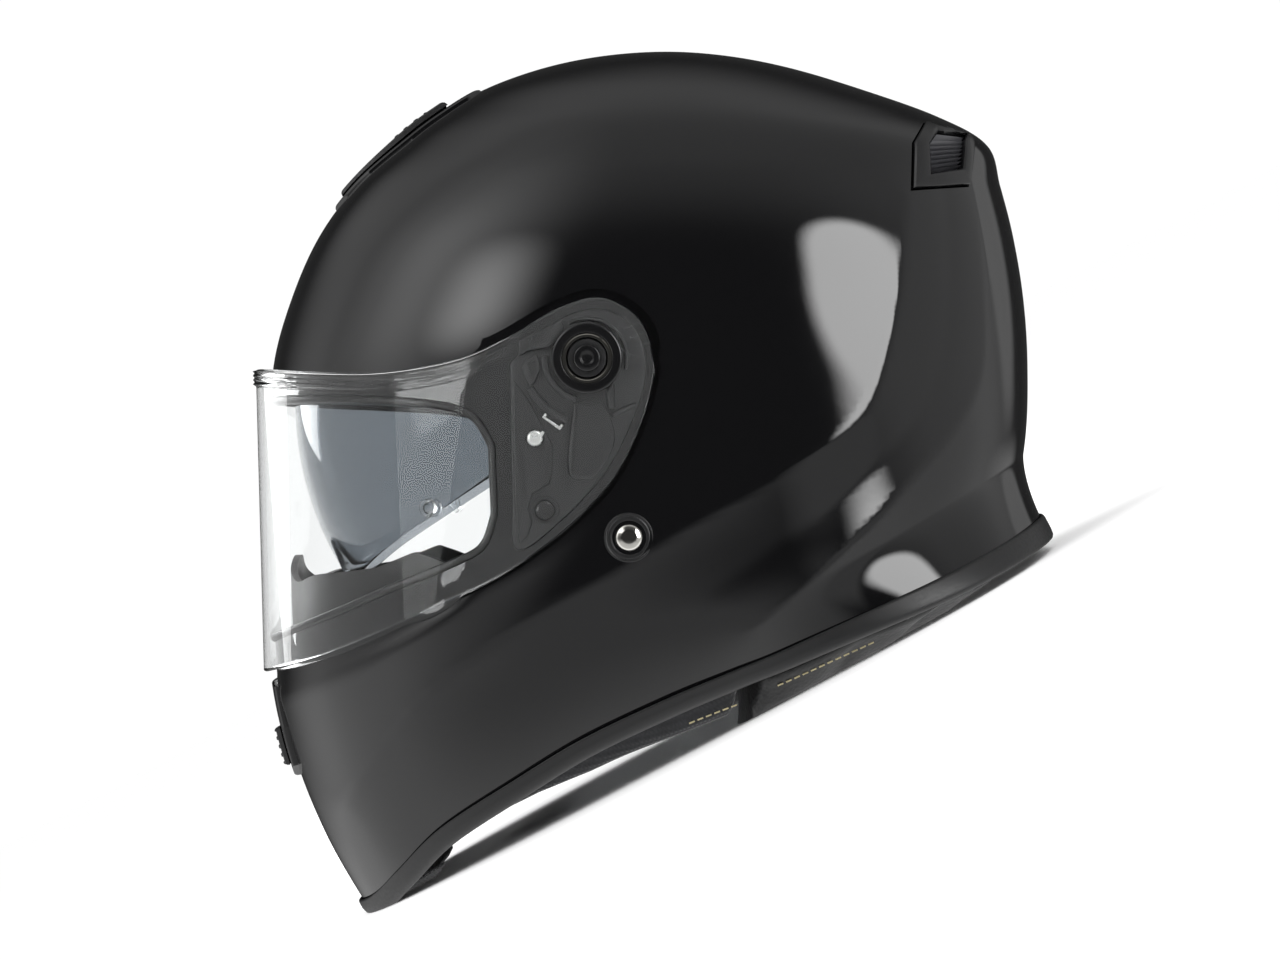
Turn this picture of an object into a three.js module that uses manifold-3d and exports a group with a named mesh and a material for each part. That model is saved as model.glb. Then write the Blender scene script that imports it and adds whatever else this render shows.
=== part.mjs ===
// A full-face motorcycle helmet, standing on its base, in millimetres.
//
// The helmet is drawn in the wearer's frame and then tipped back to stand on its chin and neck roll.
// The wearer's frame has its origin on the visor's hinge axis: x is the wearer's left, "ahead" is
// towards the chin and "up" is towards the crown. A vector holds (x, -ahead, up).
import * as THREE from "three";
import { mergeVertices } from "three/addons/utils/BufferGeometryUtils.js";
import Module from "manifold-3d";

const wasm = await Module();
wasm.setup();
const { Manifold } = wasm;

// ---------------------------------------------------------------- driving dimensions

const STAND_TILT = THREE.MathUtils.degToRad(28.1); // the wearer's frame leans back this much when standing
const CROWN = 123.5; // height of the crown over the hinge axis
const FOOTPRINT_SHIFT = 1; // puts the middle of the footprint over the origin
const GAP = 0.4; // clearance between fixed neighbours

const SHELL_WALL = 3.8;
const EPS_OUTER = SHELL_WALL + 1.4;
const EPS_INNER = 34;
const PAD_OUTER = EPS_INNER + 0.8;
const PAD_INNER = 45;

const POCKET_FLOOR = 118; // x of the flat floor under each end of the visor
const POCKET_WALL = 3.2;
const PORT_GASKET = 3.2;

const VISOR_WALL = 2.2;
const VISOR_HALF = 126.6; // half the visor's outer width
const VISOR_AHEAD = 131.5; // the visor's nose at its top edge
const VISOR_RAKE = 0.027; // how much the nose draws back for each millimetre down
const VISOR_POWER = 2.3;

const SUN_AXIS = { ahead: -6.9, up: -15.5 };
const SUN_WALL = 2;
const SUN_HALF = 108;
const SUN_RADIUS = 123;
const SUN_BOTTOM = -33; // degrees, seen from the sun visor's own axis
const SUN_TOP = 13;
const SUN_TRAVEL = 44;

const RIVET = { ahead: -15.5, up: -66.4 };
const ROUND = 40; // facets round the helmet
const RISE = 11; // facets from the crown to the flare over the base
const FLARE = [20, 9, 3, 0]; // rings over the lower edge

// Horizontal sections of the outer surface, from the crown down.
// up, front, rear, half width, where it is widest, roundness of the front, roundness of the rear
const SECTIONS = [
  [CROWN, -30, -30, 0, -30, 2, 2],
  [121.6, -4, -55, 26, -30, 2, 2],
  [116.6, 20, -80, 48, -31, 2, 2.05],
  [108, 43, -108, 68, -31, 2.05, 2.1],
  [97, 61, -138, 84, -31, 2.05, 2.2],
  [86, 75, -156.5, 95, -30, 2.1, 2.3],
  [70, 92.5, -161.5, 106, -28, 2.15, 2.3],
  [50, 107, -166.5, 115.5, -25, 2.2, 2.3],
  [26, 117.5, -170.4, 121.5, -20, 2.25, 2.3],
  [0, 124.5, -172, 125, -14, 2.3, 2.35],
  [-30, 125.8, -171, 125.6, -10, 2.35, 2.4],
  [-62, 125.5, -165, 124.5, -8, 2.35, 2.5],
  [-95, 124.5, -158, 121.5, -6, 2.35, 2.6],
  [-125, 122.5, -150, 115, -6, 2.35, 2.6],
  [-155, 115.5, -142, 107.5, -6, 2.3, 2.6],
  [-185, 103.5, -134, 99, -8, 2.3, 2.6],
  [-215, 86.5, -126, 89, -10, 2.3, 2.6],
];

// The lower edge of the shell when it stands: distance behind the chin, height.
const BASE_LINE = [
  [-14, 3.6],
  [4, 4.6],
  [20, 9.6],
  [43, 17],
  [76, 20.5],
  [107, 22.5],
  [142, 21],
  [169, 18.5],
  [190, 16.8],
  [234, 16],
  [256, 16],
  [282, 16.6],
  [312, 18],
];
const CHIN_TO_AXIS = { back: 175, height: 148.5 }; // the hinge axis, measured from the chin's lowest point

// Side outlines, as ahead and up.
const VISOR_OUTLINE_TOP = [
  [131.5, -2.5],
  [105, -4.8],
  [78, -5.4],
  [51, -1.5],
  [32, 6],
  [10, 18.2],
  [-6, 21.6],
  [-20, 13],
  [-25.2, -4],
];
const VISOR_OUTLINE_BOTTOM = [
  [131.5, -119.5],
  [102, -110],
  [78, -100.3],
  [55, -90.4],
  [32, -79.4],
  [9.5, -63.8],
  [-9.2, -45],
  [-20.3, -22.8],
  [-25.2, -4],
];
const PORT_TOP = [
  [140, -12.5],
  [86, -13.5],
  [58, -15.5],
  [42, -20],
  [34, -32],
];
const PORT_BOTTOM = [
  [33, -58],
  [38, -71],
  [52, -78.5],
  [74, -87.5],
  [97, -97.5],
  [140, -115],
];
const BASE_PLATE = [
  [28.5, -2],
  [12, 13.5],
  [-5, 18.5],
  [-17.5, 11],
  [-21.8, -4],
  [-17.5, -21.5],
  [-7, -42],
  [9.5, -60],
  [26, -71],
  [27.5, -50],
];
const RELEASE_LEVER = [
  [4.8, -17],
  [6.8, -41.4],
  [0.8, -44.6],
  [-4.4, -42.6],
  [-10.3, -29.4],
  [-5, -16.5],
];
const REAR_VENT = [
  [-128.7, 91.5],
  [-123.5, 83],
  [-122.4, 64.7],
  [-144.9, 67.4],
  [-148.2, 86.4],
];
const REAR_GRILLE = [
  [-133.4, 87.5],
  [-129.5, 82],
  [-129.7, 71],
  [-142, 74],
  [-144, 86.8],
];

// ---------------------------------------------------------------- materials

const finish = (color, roughness, metalness = 0, extra = {}) =>
  new THREE.MeshStandardMaterial({ color, roughness, metalness, ...extra });
const GLOSS_BLACK = finish(0x101012, 0.08);
const MATT_BLACK = finish(0x1b1b1d, 0.55);
const RUBBER = finish(0x202022, 0.7);
const FOAM = finish(0x2b2b2d, 0.9);
const CLOTH = finish(0x242427, 0.95);
const CLEAR = finish(0xf0f4f6, 0.04, 0, { transparent: true, opacity: 0.25 });
const SMOKE = finish(0x5a6064, 0.06, 0, { transparent: true, opacity: 0.6 });
const STEEL = finish(0xd0d0cc, 0.2, 1);

// ---------------------------------------------------------------- curves and the outer surface

const at = (x, ahead, up) => new THREE.Vector3(x, -ahead, up);
const clamp01 = (t) => Math.min(1, Math.max(0, t));
const smooth = (a, b, t) => THREE.MathUtils.smoothstep(t, a, b);

// Value of column k of a table at row position q, on a smooth curve through the rows.
function column(table, q, k) {
  const i = Math.min(table.length - 2, Math.max(0, Math.floor(q)));
  const t = q - i;
  const row = (j) => table[Math.min(table.length - 1, Math.max(0, j))][k];
  const [a, b, c, d] = [row(i - 1), row(i), row(i + 1), row(i + 2)];
  return b + 0.5 * t * (c - a + t * (2 * a - 5 * b + 4 * c - d + t * (3 * (b - c) + d - a)));
}

// Column 1 of a two-column table as a function of its rising or falling column 0.
function curveAt(table, value) {
  const rising = table[table.length - 1][0] > table[0][0];
  let [low, high] = [0, table.length - 1];
  for (let n = 0; n < 30; n++) {
    const mid = (low + high) / 2;
    if (column(table, mid, 0) < value === rising) low = mid;
    else high = mid;
  }
  return column(table, low, 1);
}

const standing = (p) => {
  const [c, s] = [Math.cos(STAND_TILT), Math.sin(STAND_TILT)];
  return {
    back: CHIN_TO_AXIS.back + c * p.y + s * p.z,
    height: CHIN_TO_AXIS.height - s * p.y + c * p.z,
  };
};
const heightOverBase = (p) => {
  const { back, height } = standing(p);
  return height - curveAt(BASE_LINE, back);
};

// The plain section surface: q runs down the table, turn runs from the nose (0) to the left side.
function sectionPoint(q, turn) {
  const [up, front, rear, half, widest, nFront, nRear] = [0, 1, 2, 3, 4, 5, 6].map((k) =>
    column(SECTIONS, q, k),
  );
  const [c, s] = [Math.cos(turn), Math.sin(turn)];
  const power = 2 / (c > 0 ? nFront : nRear);
  const reach = c > 0 ? front - widest : widest - rear;
  const x = Math.max(0, half) * Math.sign(s) * Math.abs(s) ** power;
  return at(x, widest + reach * Math.sign(c) * Math.abs(c) ** power, up);
}

// The shell tucks in above its lower edge, and flares into a lip behind the neck. Both fade out
// towards the layers inside it.
function flare(p, inset) {
  const over = heightOverBase(p);
  const rear = smooth(55, 150, p.y);
  const tuck = 5 * clamp01(1 - over / 32) ** 2 * (1 - rear) * smooth(-125, -60, p.y);
  const lip = 12.5 * Math.min(1.2, Math.max(0, 1 - over / 20)) ** 1.5 * rear;
  const outward = new THREE.Vector2(p.x * 0.8, p.y).normalize();
  const lipHere = lip * (1 - smooth(6.5, 12, inset));
  const tuckHere = tuck * (1 - smooth(6.5, 20, inset));
  return new THREE.Vector3(
    outward.x * lipHere - Math.sign(p.x) * tuckHere,
    outward.y * lipHere,
    0,
  );
}

// A point inset under the surface, along its normal.
function insetPoint(q, turn, inset) {
  const p = sectionPoint(q, turn);
  const step = 0.02;
  const q0 = Math.max(0.06, q);
  const down = sectionPoint(q0 + step, turn).sub(sectionPoint(q0 - step, turn));
  const round = sectionPoint(q0, turn + step).sub(sectionPoint(q0, turn - step));
  const normal = down.cross(round).normalize();
  if (q < 0.06) normal.set(0, 0, 1);
  const shift = flare(p, inset);
  return p.addScaledVector(normal, -inset).add(shift);
}

// Row position at which the surface meets the base line, for one direction round the helmet.
function baseRow(turn, over) {
  let [low, high] = [4, SECTIONS.length - 1];
  for (let n = 0; n < 24; n++) {
    const mid = (low + high) / 2;
    if (heightOverBase(sectionPoint(mid, turn)) > over) low = mid;
    else high = mid;
  }
  return low;
}

// ---------------------------------------------------------------- solids

// A closed surface through rings of equally many points. Ends close on a point or on a flat fan;
// a loop joins its last ring to its first.
function loft(rings, { loop = false } = {}) {
  const n = rings[0].length;
  const points = rings.flat();
  const triangles = [];
  const quad = (a, b, c, d) => triangles.push(a, b, c, a, c, d);
  const spans = loop ? rings.length : rings.length - 1;
  for (let i = 0; i < spans; i++)
    for (let j = 0; j < n; j++) {
      const [a, b] = [i * n, ((i + 1) % rings.length) * n];
      const k = (j + 1) % n;
      quad(a + j, a + k, b + k, b + j);
    }
  if (!loop)
    [0, rings.length - 1].forEach((end) => {
      const centre = rings[end].reduce((s, p) => s.add(p), new THREE.Vector3()).divideScalar(n);
      const c = points.push(centre) - 1;
      for (let j = 0; j < n; j++) {
        const [a, b] = [end * n + j, end * n + ((j + 1) % n)];
        triangles.push(...(end ? [c, a, b] : [c, b, a]));
      }
    });
  const geometry = new THREE.BufferGeometry().setFromPoints(points);
  geometry.setIndex(triangles);
  return geometry;
}

// A three.js geometry as a manifold solid, turned to face outwards.
function solid(geometry) {
  const bare = geometry.clone();
  bare.deleteAttribute("normal");
  bare.deleteAttribute("uv");
  const merged = mergeVertices(bare, 1e-4);
  const triVerts = Uint32Array.from(merged.index.array);
  const build = () =>
    new Manifold(
      new wasm.Mesh({ numProp: 3, vertProperties: merged.attributes.position.array, triVerts }),
    );
  const made = build();
  if (made.volume() > 0) return made;
  triVerts.reverse();
  return build();
}

function geometryOf(manifold) {
  const mesh = manifold.getMesh();
  const positions = new Float32Array(mesh.numVert * 3);
  for (let i = 0; i < mesh.numVert; i++)
    positions.set(mesh.vertProperties.subarray(i * mesh.numProp, i * mesh.numProp + 3), i * 3);
  const geometry = new THREE.BufferGeometry();
  geometry.setAttribute("position", new THREE.BufferAttribute(positions, 3));
  geometry.setIndex(new THREE.BufferAttribute(mesh.triVerts, 1));
  return geometry;
}

const biggest = (manifold) =>
  manifold.decompose().reduce((best, part) => (part.volume() > best.volume() ? part : best));

const turnOf = (j) => (2 * Math.PI * j) / ROUND;

// Rings of the surface at one inset, from near the crown down to a height over the base line.
function rings(inset, over = 0) {
  const found = [];
  for (let i = 0; i <= RISE + FLARE.length; i++) {
    const ring = [];
    for (let j = 0; j < ROUND; j++) {
      const top = baseRow(turnOf(j), FLARE[0] + 8);
      const row = i <= RISE ? top * (0.02 + (0.98 * i) / RISE)
        : baseRow(turnOf(j), over + FLARE[i - RISE - 1]);
      ring.push(insetPoint(row, turnOf(j), inset));
    }
    found.push(ring);
  }
  return found;
}

// Everything under the surface at one inset, down to a height over the base line.
const filledCache = new Map();
function filled(inset, over = 0) {
  const key = `${inset},${over}`;
  if (!filledCache.has(key)) filledCache.set(key, solid(loft(rings(inset, over))));
  return filledCache.get(key);
}

// The layer between two insets, open at the base: outer rings downwards, then inner rings upwards.
const layer = (outer, inner, over = 0) =>
  solid(loft([...rings(outer, over), ...rings(inner, over).reverse()]));

// A prism with a side outline, between two values of x.
function sidePrism(outline, x0, x1) {
  const shape = new THREE.Shape(outline.map(([ahead, up]) => new THREE.Vector2(-ahead, up)));
  const geometry = new THREE.ExtrudeGeometry(shape, { depth: x1 - x0, bevelEnabled: false });
  geometry.applyMatrix4(
    new THREE.Matrix4().makeBasis(at(0, -1, 0), at(0, 0, 1), at(1, 0, 0)).setPosition(x0, 0, 0),
  );
  return solid(geometry);
}

// A prism with a front outline given as x and up, between two distances ahead.
function frontPrism(outline, ahead0, ahead1) {
  const shape = new THREE.Shape(outline.map(([x, up]) => new THREE.Vector2(x, up)));
  const geometry = new THREE.ExtrudeGeometry(shape, {
    depth: ahead1 - ahead0,
    bevelEnabled: false,
  });
  geometry.applyMatrix4(
    new THREE.Matrix4()
      .makeBasis(at(1, 0, 0), at(0, 0, 1), at(0, 1, 0))
      .setPosition(at(0, ahead0, 0)),
  );
  return solid(geometry);
}

// A disc, ring or dome on an axis along x, from a radius and x profile.
function turned(profile, ahead, up, facets = 20) {
  const lathe = new THREE.LatheGeometry(
    profile.map(([r, x]) => new THREE.Vector2(r, x)),
    facets,
  );
  lathe.rotateZ(-Math.PI / 2);
  lathe.translate(0, -ahead, up);
  return solid(lathe);
}

const curve = (points, count) =>
  new THREE.SplineCurve(points.map(([a, b]) => new THREE.Vector2(a, b)))
    .getPoints(count)
    .map((p) => [p.x, p.y]);

// A side outline grown outwards by a margin.
function grown(outline, margin) {
  const turnsLeft = THREE.ShapeUtils.area(outline.map(([a, b]) => new THREE.Vector2(a, b))) > 0;
  return outline.map((p, i) => {
    const before = outline[(i + outline.length - 1) % outline.length];
    const after = outline[(i + 1) % outline.length];
    const d1 = new THREE.Vector2(p[0] - before[0], p[1] - before[1]).normalize();
    const d2 = new THREE.Vector2(after[0] - p[0], after[1] - p[1]).normalize();
    const n = new THREE.Vector2(d1.y + d2.y, -d1.x - d2.x).normalize();
    const stretch = 1 / Math.max(0.6, n.x * d1.y - n.y * d1.x);
    const k = margin * stretch * (turnsLeft ? 1 : -1);
    return [p[0] + n.x * k, p[1] + n.y * k];
  });
}

// The half of a solid on the wearer's right, from the half on the left.
const mirrored = (manifold) => manifold.mirror([1, 0, 0]);

const helmet = new THREE.Group();
function add(name, manifold, material) {
  const mesh = new THREE.Mesh(geometryOf(manifold.simplify(0.02)), material);
  mesh.name = name;
  helmet.add(mesh);
  return manifold;
}
function addPair(name, left, material) {
  add(`${name}_left`, left, material);
  add(`${name}_right`, mirrored(left), material);
}

// ---------------------------------------------------------------- outlines

const portOutline = [...curve(PORT_TOP, 9), ...curve(PORT_BOTTOM, 9)];
const visorTop = curve(VISOR_OUTLINE_TOP, 18);
const visorBottom = curve(VISOR_OUTLINE_BOTTOM, 18);
const visorOutline = [...visorTop, ...visorBottom.slice(0, -1).reverse()];
const pocketOutline = grown(visorOutline, 2.4);
const pocketOuter = grown(visorOutline, 2.4 + POCKET_WALL);
const WIDE = 150;

// A strip of padding or rubber that follows the base: its section is a list of inset and height
// over the base line, which may change from one span to the next, and it runs between two facets of
// the round (all the way when they meet).
function skirt(section, from, to) {
  const all = to - from === ROUND;
  const spans = Math.ceil(to - from);
  const found = [];
  for (let i = 0; i <= spans - (all ? 1 : 0); i++) {
    const turn = turnOf(from + ((to - from) * i) / spans);
    const ring = section(i).map(([inset, over]) => {
      const p = insetPoint(baseRow(turn, over), turn, inset);
      const { height } = standing(p);
      const rest = Math.max(0, -height);
      return p.add(new THREE.Vector3(0, -Math.sin(STAND_TILT), Math.cos(STAND_TILT))
        .multiplyScalar(rest));
    });
    found.push(ring);
  }
  return solid(loft(found, { loop: all }));
}

// A flat strap along a path of x, ahead and up; its width lies along the wearer's ahead.
function ribbon(path, width, thickness) {
  const spine = new THREE.CatmullRomCurve3(path.map(([x, ahead, up]) => at(x, ahead, up)));
  const found = spine.getPoints(14).map((p, i, all) => {
    const next = all[Math.min(i + 1, all.length - 1)];
    const before = all[Math.max(i - 1, 0)];
    const along = next.clone().sub(before);
    const normal = new THREE.Vector3(-along.z, 0, along.x).normalize();
    const side = at(0, width / 2, 0);
    const face = normal.multiplyScalar(thickness / 2);
    return [
      p.clone().add(side).add(face),
      p.clone().sub(side).add(face),
      p.clone().sub(side).sub(face),
      p.clone().add(side).sub(face),
    ];
  });
  return solid(loft(found));
}

function tube(path, radius, facets = 4) {
  const spine = new THREE.CatmullRomCurve3(path.map(([x, ahead, up]) => at(x, ahead, up)));
  const round = new THREE.Shape();
  round.absarc(0, 0, radius, 0, 2 * Math.PI);
  return solid(new THREE.ExtrudeGeometry(round,
    { steps: 12, extrudePath: spine, curveSegments: facets }));
}

function box(x0, x1, ahead0, ahead1, up0, up1) {
  const geometry = new THREE.BoxGeometry(x1 - x0, ahead1 - ahead0, up1 - up0);
  geometry.translate((x0 + x1) / 2, -(ahead0 + ahead1) / 2, (up0 + up1) / 2);
  return solid(geometry);
}

const disc = (radius, x0, x1, { ahead, up }, facets = 20) =>
  turned([[0, x0], [radius, x0], [radius, x1], [0, x1]], ahead, up, facets);
const ring = (inner, outer, x0, x1, place, facets = 24) =>
  disc(outer, x0, x1, place, facets).subtract(disc(inner, x0 - 1, x1 + 1, place, facets));

// ---------------------------------------------------------------- shell

const HUB = { ahead: 0, up: 0 };
const BASE_SCREWS = { lower: { ahead: 15.6, up: -56.3 }, upper: { ahead: 19.3, up: -29.6 } };
const SLOT = [[-24, -90], [-24, -100], [-58, -100], [-58, -90]];
const sides = (shape, cut) => cut(cut(shape, (m) => m), mirrored);

function outerShell() {
  const pocket = (wall, from) => sidePrism(wall, from, WIDE);
  const lining = pocket(pocketOuter, POCKET_FLOOR - POCKET_WALL)
    .intersect(filled(0))
    .subtract(pocket(pocketOutline, POCKET_FLOOR));
  const shell = sides(layer(0, SHELL_WALL), (m, side) =>
    m.subtract(side(pocket(pocketOutline, POCKET_FLOOR))).add(side(lining)))
    .subtract(sidePrism(portOutline, -WIDE, WIDE));
  const cut = sides(shell, (m, side) => {
    const holes = Object.values(BASE_SCREWS).map((place) => disc(2, 100, WIDE, place, 12));
    return [
      disc(9.8, 124, WIDE, RIVET),
      disc(3, 100, WIDE, RIVET, 16),
      sidePrism(grown(REAR_VENT, 0.6), 20, WIDE),
      ...holes,
    ].reduce((sum, tool) => sum.subtract(side(tool)), m);
  });
  return biggest(cut.subtract(chinDuct(0)).subtract(crownDuct(0))
    .subtract(mirrored(sidePrism(SLOT, 60, WIDE))));
}

// The air openings behind the two intakes, grown by a margin.
const chinDuct = (margin) =>
  frontPrism([[-17 - margin, -136 + margin], [17 + margin, -136 + margin],
    [13 + margin, -150 - margin], [-13 - margin, -150 - margin]], 85, 130);
const crownDuct = (margin) =>
  sidePrism([[107 + margin, 100], [95 - margin, 108], [50 - margin, 52], [62 + margin, 44]],
    -10 - margin, 10 + margin);

function edgeTrim() {
  const w = SHELL_WALL;
  return skirt(() => [[-0.8, 2.2], [-1.9, 1.8], [-2.1, -1.5], [-1.2, -4.8], [w / 2, -6.5], [w + 1.2, -4.8],
    [w + 2.1, -1.5], [w + 1.9, 1.8], [w + 0.8, 2.2], [w + 0.6, -0.7], [-0.6, -0.7]], 0, ROUND);
}

function portGasket() {
  const band = layer(-1.2, SHELL_WALL + 1.8);
  const whole = band.intersect(sidePrism(grown(portOutline, -0.4), -WIDE, WIDE))
    .subtract(sidePrism(grown(portOutline, -PORT_GASKET), -WIDE, WIDE));
  return biggest(sides(whole, (m, side) =>
    m.subtract(side(sidePrism(grown(pocketOutline, 0.4), POCKET_FLOOR - 0.4, WIDE)))));
}

// ---------------------------------------------------------------- visors

// How far ahead the visor's surface reaches at a height.
const visorNose = (up, inset) => VISOR_AHEAD + VISOR_RAKE * up - inset;

// A point of the visor: turn is 0 at the nose and 90 degrees where the side passes the hinge axis.
function visorPoint(turn, up, inset) {
  const half = VISOR_HALF - inset;
  const beyond = Math.abs(turn) - Math.PI / 2;
  if (beyond > 0) return at(Math.sign(turn) * half, -beyond * half, up);
  const power = 2 / VISOR_POWER;
  return at(half * Math.sign(turn) * Math.abs(Math.sin(turn)) ** power,
    visorNose(up, inset) * Math.max(0, Math.cos(turn)) ** power, up);
}

function visor() {
  const columns = [];
  const end = Math.PI / 2 + 25 / VISOR_HALF;
  const steps = 48;
  const rowsUp = 3;
  for (let i = 0; i <= steps; i++) {
    const turn = -end + (2 * end * i) / steps;
    const ahead = Math.min(131.4, -visorPoint(turn, 0, 0).y);
    const [top, bottom] = [curveAt(VISOR_OUTLINE_TOP, ahead), curveAt(VISOR_OUTLINE_BOTTOM, ahead)];
    const rise = (k) => top + ((bottom - top) * k) / rowsUp;
    const column = [];
    for (let k = 0; k <= rowsUp; k++) column.push(visorPoint(turn, rise(k), 0));
    for (let k = rowsUp; k >= 0; k--) column.push(visorPoint(turn, rise(k), VISOR_WALL));
    columns.push(column);
  }
  const whole = solid(loft(columns));
  const pierced = sides(whole, (m, side) => m.subtract(side(disc(9.8, 100, WIDE, HUB, 24))));
  return sides(pierced, (m, side) => m.subtract(side(pinSolid(2.6, -9, 9))));
}

// A disc on the anti-fog pin's axis, which stands square on the visor's side.
const PIN_TURN = 1.158;
function pinSolid(radius, from, to) {
  const centre = visorPoint(PIN_TURN, -55.5, 0);
  const along = visorPoint(PIN_TURN + 0.02, -55.5, 0).sub(visorPoint(PIN_TURN - 0.02, -55.5, 0));
  const outward = new THREE.Vector3(-along.y, along.x, 0).normalize();
  if (outward.x < 0) outward.negate();
  const geometry = new THREE.CylinderGeometry(radius, radius, to - from, 12);
  geometry.translate(0, (from + to) / 2, 0);
  geometry.applyQuaternion(new THREE.Quaternion()
    .setFromUnitVectors(new THREE.Vector3(0, 1, 0), outward));
  geometry.translate(centre.x, centre.y, centre.z);
  return solid(geometry);
}
const antifogPin = () =>
  pinSolid(2.3, -4.2, 2).add(pinSolid(3.4, 0.7, 2.2)).add(pinSolid(3.4, -4.4, -2.9));

const visorHub = () =>
  ring(7.7, 9.4, 122.3, 128, HUB).add(ring(7.7, 13.2, 126.9, 128, HUB))
    .add(ring(7.7, 12, 122.3, 124.1, HUB));

// The sun visor is part of a solid of revolution about its own axis, so it swings within itself.
function sunSolid(inset) {
  const power = 2 / 2.4;
  const profile = [];
  for (let i = 0; i <= 20; i++) {
    const turn = -Math.PI / 2 + (Math.PI * i) / 20;
    const x = (SUN_HALF - inset) * Math.sign(turn) * Math.abs(Math.sin(turn)) ** power;
    profile.push([i % 20 ? (SUN_RADIUS - inset) * Math.cos(turn) ** power : 0, x]);
  }
  return turned(profile, SUN_AXIS.ahead, SUN_AXIS.up, 72);
}

// The part of a turn about the sun visor's axis, between two angles over straight ahead.
function wedge(from, to, reach = 160) {
  const outline = [[SUN_AXIS.ahead, SUN_AXIS.up]];
  for (let i = 0; i <= 8; i++) {
    const angle = THREE.MathUtils.degToRad(from + ((to - from) * i) / 8);
    outline.push([
      SUN_AXIS.ahead + reach * Math.cos(angle),
      SUN_AXIS.up + reach * Math.sin(angle),
    ]);
  }
  return sidePrism(outline, -WIDE, WIDE);
}

function sunVisor() {
  const glass = sunSolid(0).subtract(sunSolid(SUN_WALL)).intersect(wedge(SUN_BOTTOM, SUN_TOP));
  return sides(glass, (m, side) =>
    m.add(side(disc(8, SUN_HALF - 4.2, SUN_HALF, SUN_AXIS)))
      .subtract(side(disc(3.4, 90, WIDE, SUN_AXIS, 20))));
}

const sunCarrier = () =>
  disc(13, SUN_HALF + 1.4, SUN_HALF + 4.6, SUN_AXIS)
    .add(disc(3, SUN_HALF - 5, SUN_HALF + 2, SUN_AXIS, 20));

// ---------------------------------------------------------------- liner and pads

const chinBlock = (margin) =>
  sidePrism([[30 - margin, -45 + margin], [160, -45 + margin], [160, -240], [16 - margin, -240]],
    -WIDE, WIDE);
const sunRoom = () =>
  wedge(SUN_BOTTOM - 4, SUN_TOP + SUN_TRAVEL + 5).subtract(sunSolid(SUN_WALL + 2));

function strapPath(side) {
  return [[112.8, -14, -77], [106, -9, -98], [90, 6, -116], [66, 24, -134], [40, 36, -148],
    [16, 39, -151.5]].map(([x, ahead, up]) => [side * x, ahead, up]);
}
const strapRoom = () => ribbon(strapPath(1), 26, 5);
const anchorRoom = () => box(111.2, 130, -30.5, 1.5, -92, -52);
const slideRoom = () => mirrored(sidePrism([[-21, -86], [-21, -104], [-62, -104], [-62, -86]],
  110.5, WIDE));
const CABLE = [[-112.6, -44, -85], [-112.8, -43, -70], [-112.6, -38, -52], [-112, -30, -40],
  [-111.8, -23, -32]];
const CABLE_ROOM = [[-112.6, -44.3, -89], ...CABLE, [-111.8, -14, -22]];

function epsLiner() {
  const main = layer(EPS_OUTER, EPS_INNER, 5).subtract(chinBlock(0.4))
    .subtract(sidePrism(grown(portOutline, 1), -WIDE, WIDE)).subtract(sunRoom())
    .subtract(crownDuct(1)).subtract(slideRoom()).subtract(tube(CABLE_ROOM, 2));
  return biggest(sides(main, (m, side) =>
    m.subtract(side(disc(16, 101, WIDE, SUN_AXIS))).subtract(side(anchorRoom()))
      .subtract(side(box(110, WIDE, -9, 1, -104, -90)))
      .subtract(side(strapRoom())).subtract(side(sidePrism(grown(pocketOuter, GAP), 114.2, WIDE)))
      .subtract(side(sidePrism(grown(REAR_VENT, 0.6), 20, WIDE).intersect(layer(-6, 6))))));
}

const epsChin = () =>
  biggest(sides(layer(EPS_OUTER, 23, 5).intersect(chinBlock(0))
    .subtract(sidePrism(grown(portOutline, 1), -WIDE, WIDE))
    .subtract(chinDuct(1)).subtract(sunRoom()), (m, side) =>
    m.subtract(side(sidePrism(grown(pocketOuter, GAP), 114.2, WIDE)))
      .subtract(side(strapRoom()))));

const crownPad = () =>
  biggest(layer(PAD_OUTER, PAD_INNER, 10).intersect(sidePrism([[96, 14], [50, 6], [14, -22],
    [-60, -28], [-175, -25], [-175, 140], [96, 140]], -WIDE, WIDE))
    .subtract(crownDuct(1)));

// The cheek pads hang lower towards the neck roll, which they meet.
const PAD_DROP = [8, 8.4, 10.8, 15, 17.6, 19];
const cheekSection = (i) => [[10, -4], [9, -1 - PAD_DROP[i] / 2], [13, 1 - PAD_DROP[i]],
  [34, -PAD_DROP[i]], [50, 3 - PAD_DROP[i]], [54, 20], [53, 50], [44, 70], [36.4, 71], [35.8, 60],
  [35.8, 30], [35.8, -4]];
const cheekPad = () => biggest(skirt(cheekSection, 7, 11.8).subtract(strapRoom()));
const neckRoll = () =>
  skirt(() => [[8.5, -7], [9, -14], [13, -26], [24, -33], [37, -33], [45, -16], [47, 4], [44, 15],
    [38, 19], [35.2, 15], [35.2, -7]], 12, 28);

const chinCurtain = () =>
  skirt(() => [[8, 3], [8.6, -1], [14, -4.5], [26, -5], [27, -3.2], [15, -2.4], [11, 0.2], [10, 3]],
    -4, 4);

const breathDeflector = () =>
  biggest(layer(7, 9.6).intersect(sidePrism([[128, -82.5], [112, -81.5], [84, -79], [66, -72],
    [58, -79.5], [74, -86], [97, -96], [128, -109]], -WIDE, WIDE)));

// ---------------------------------------------------------------- mechanism at the hinge

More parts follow.
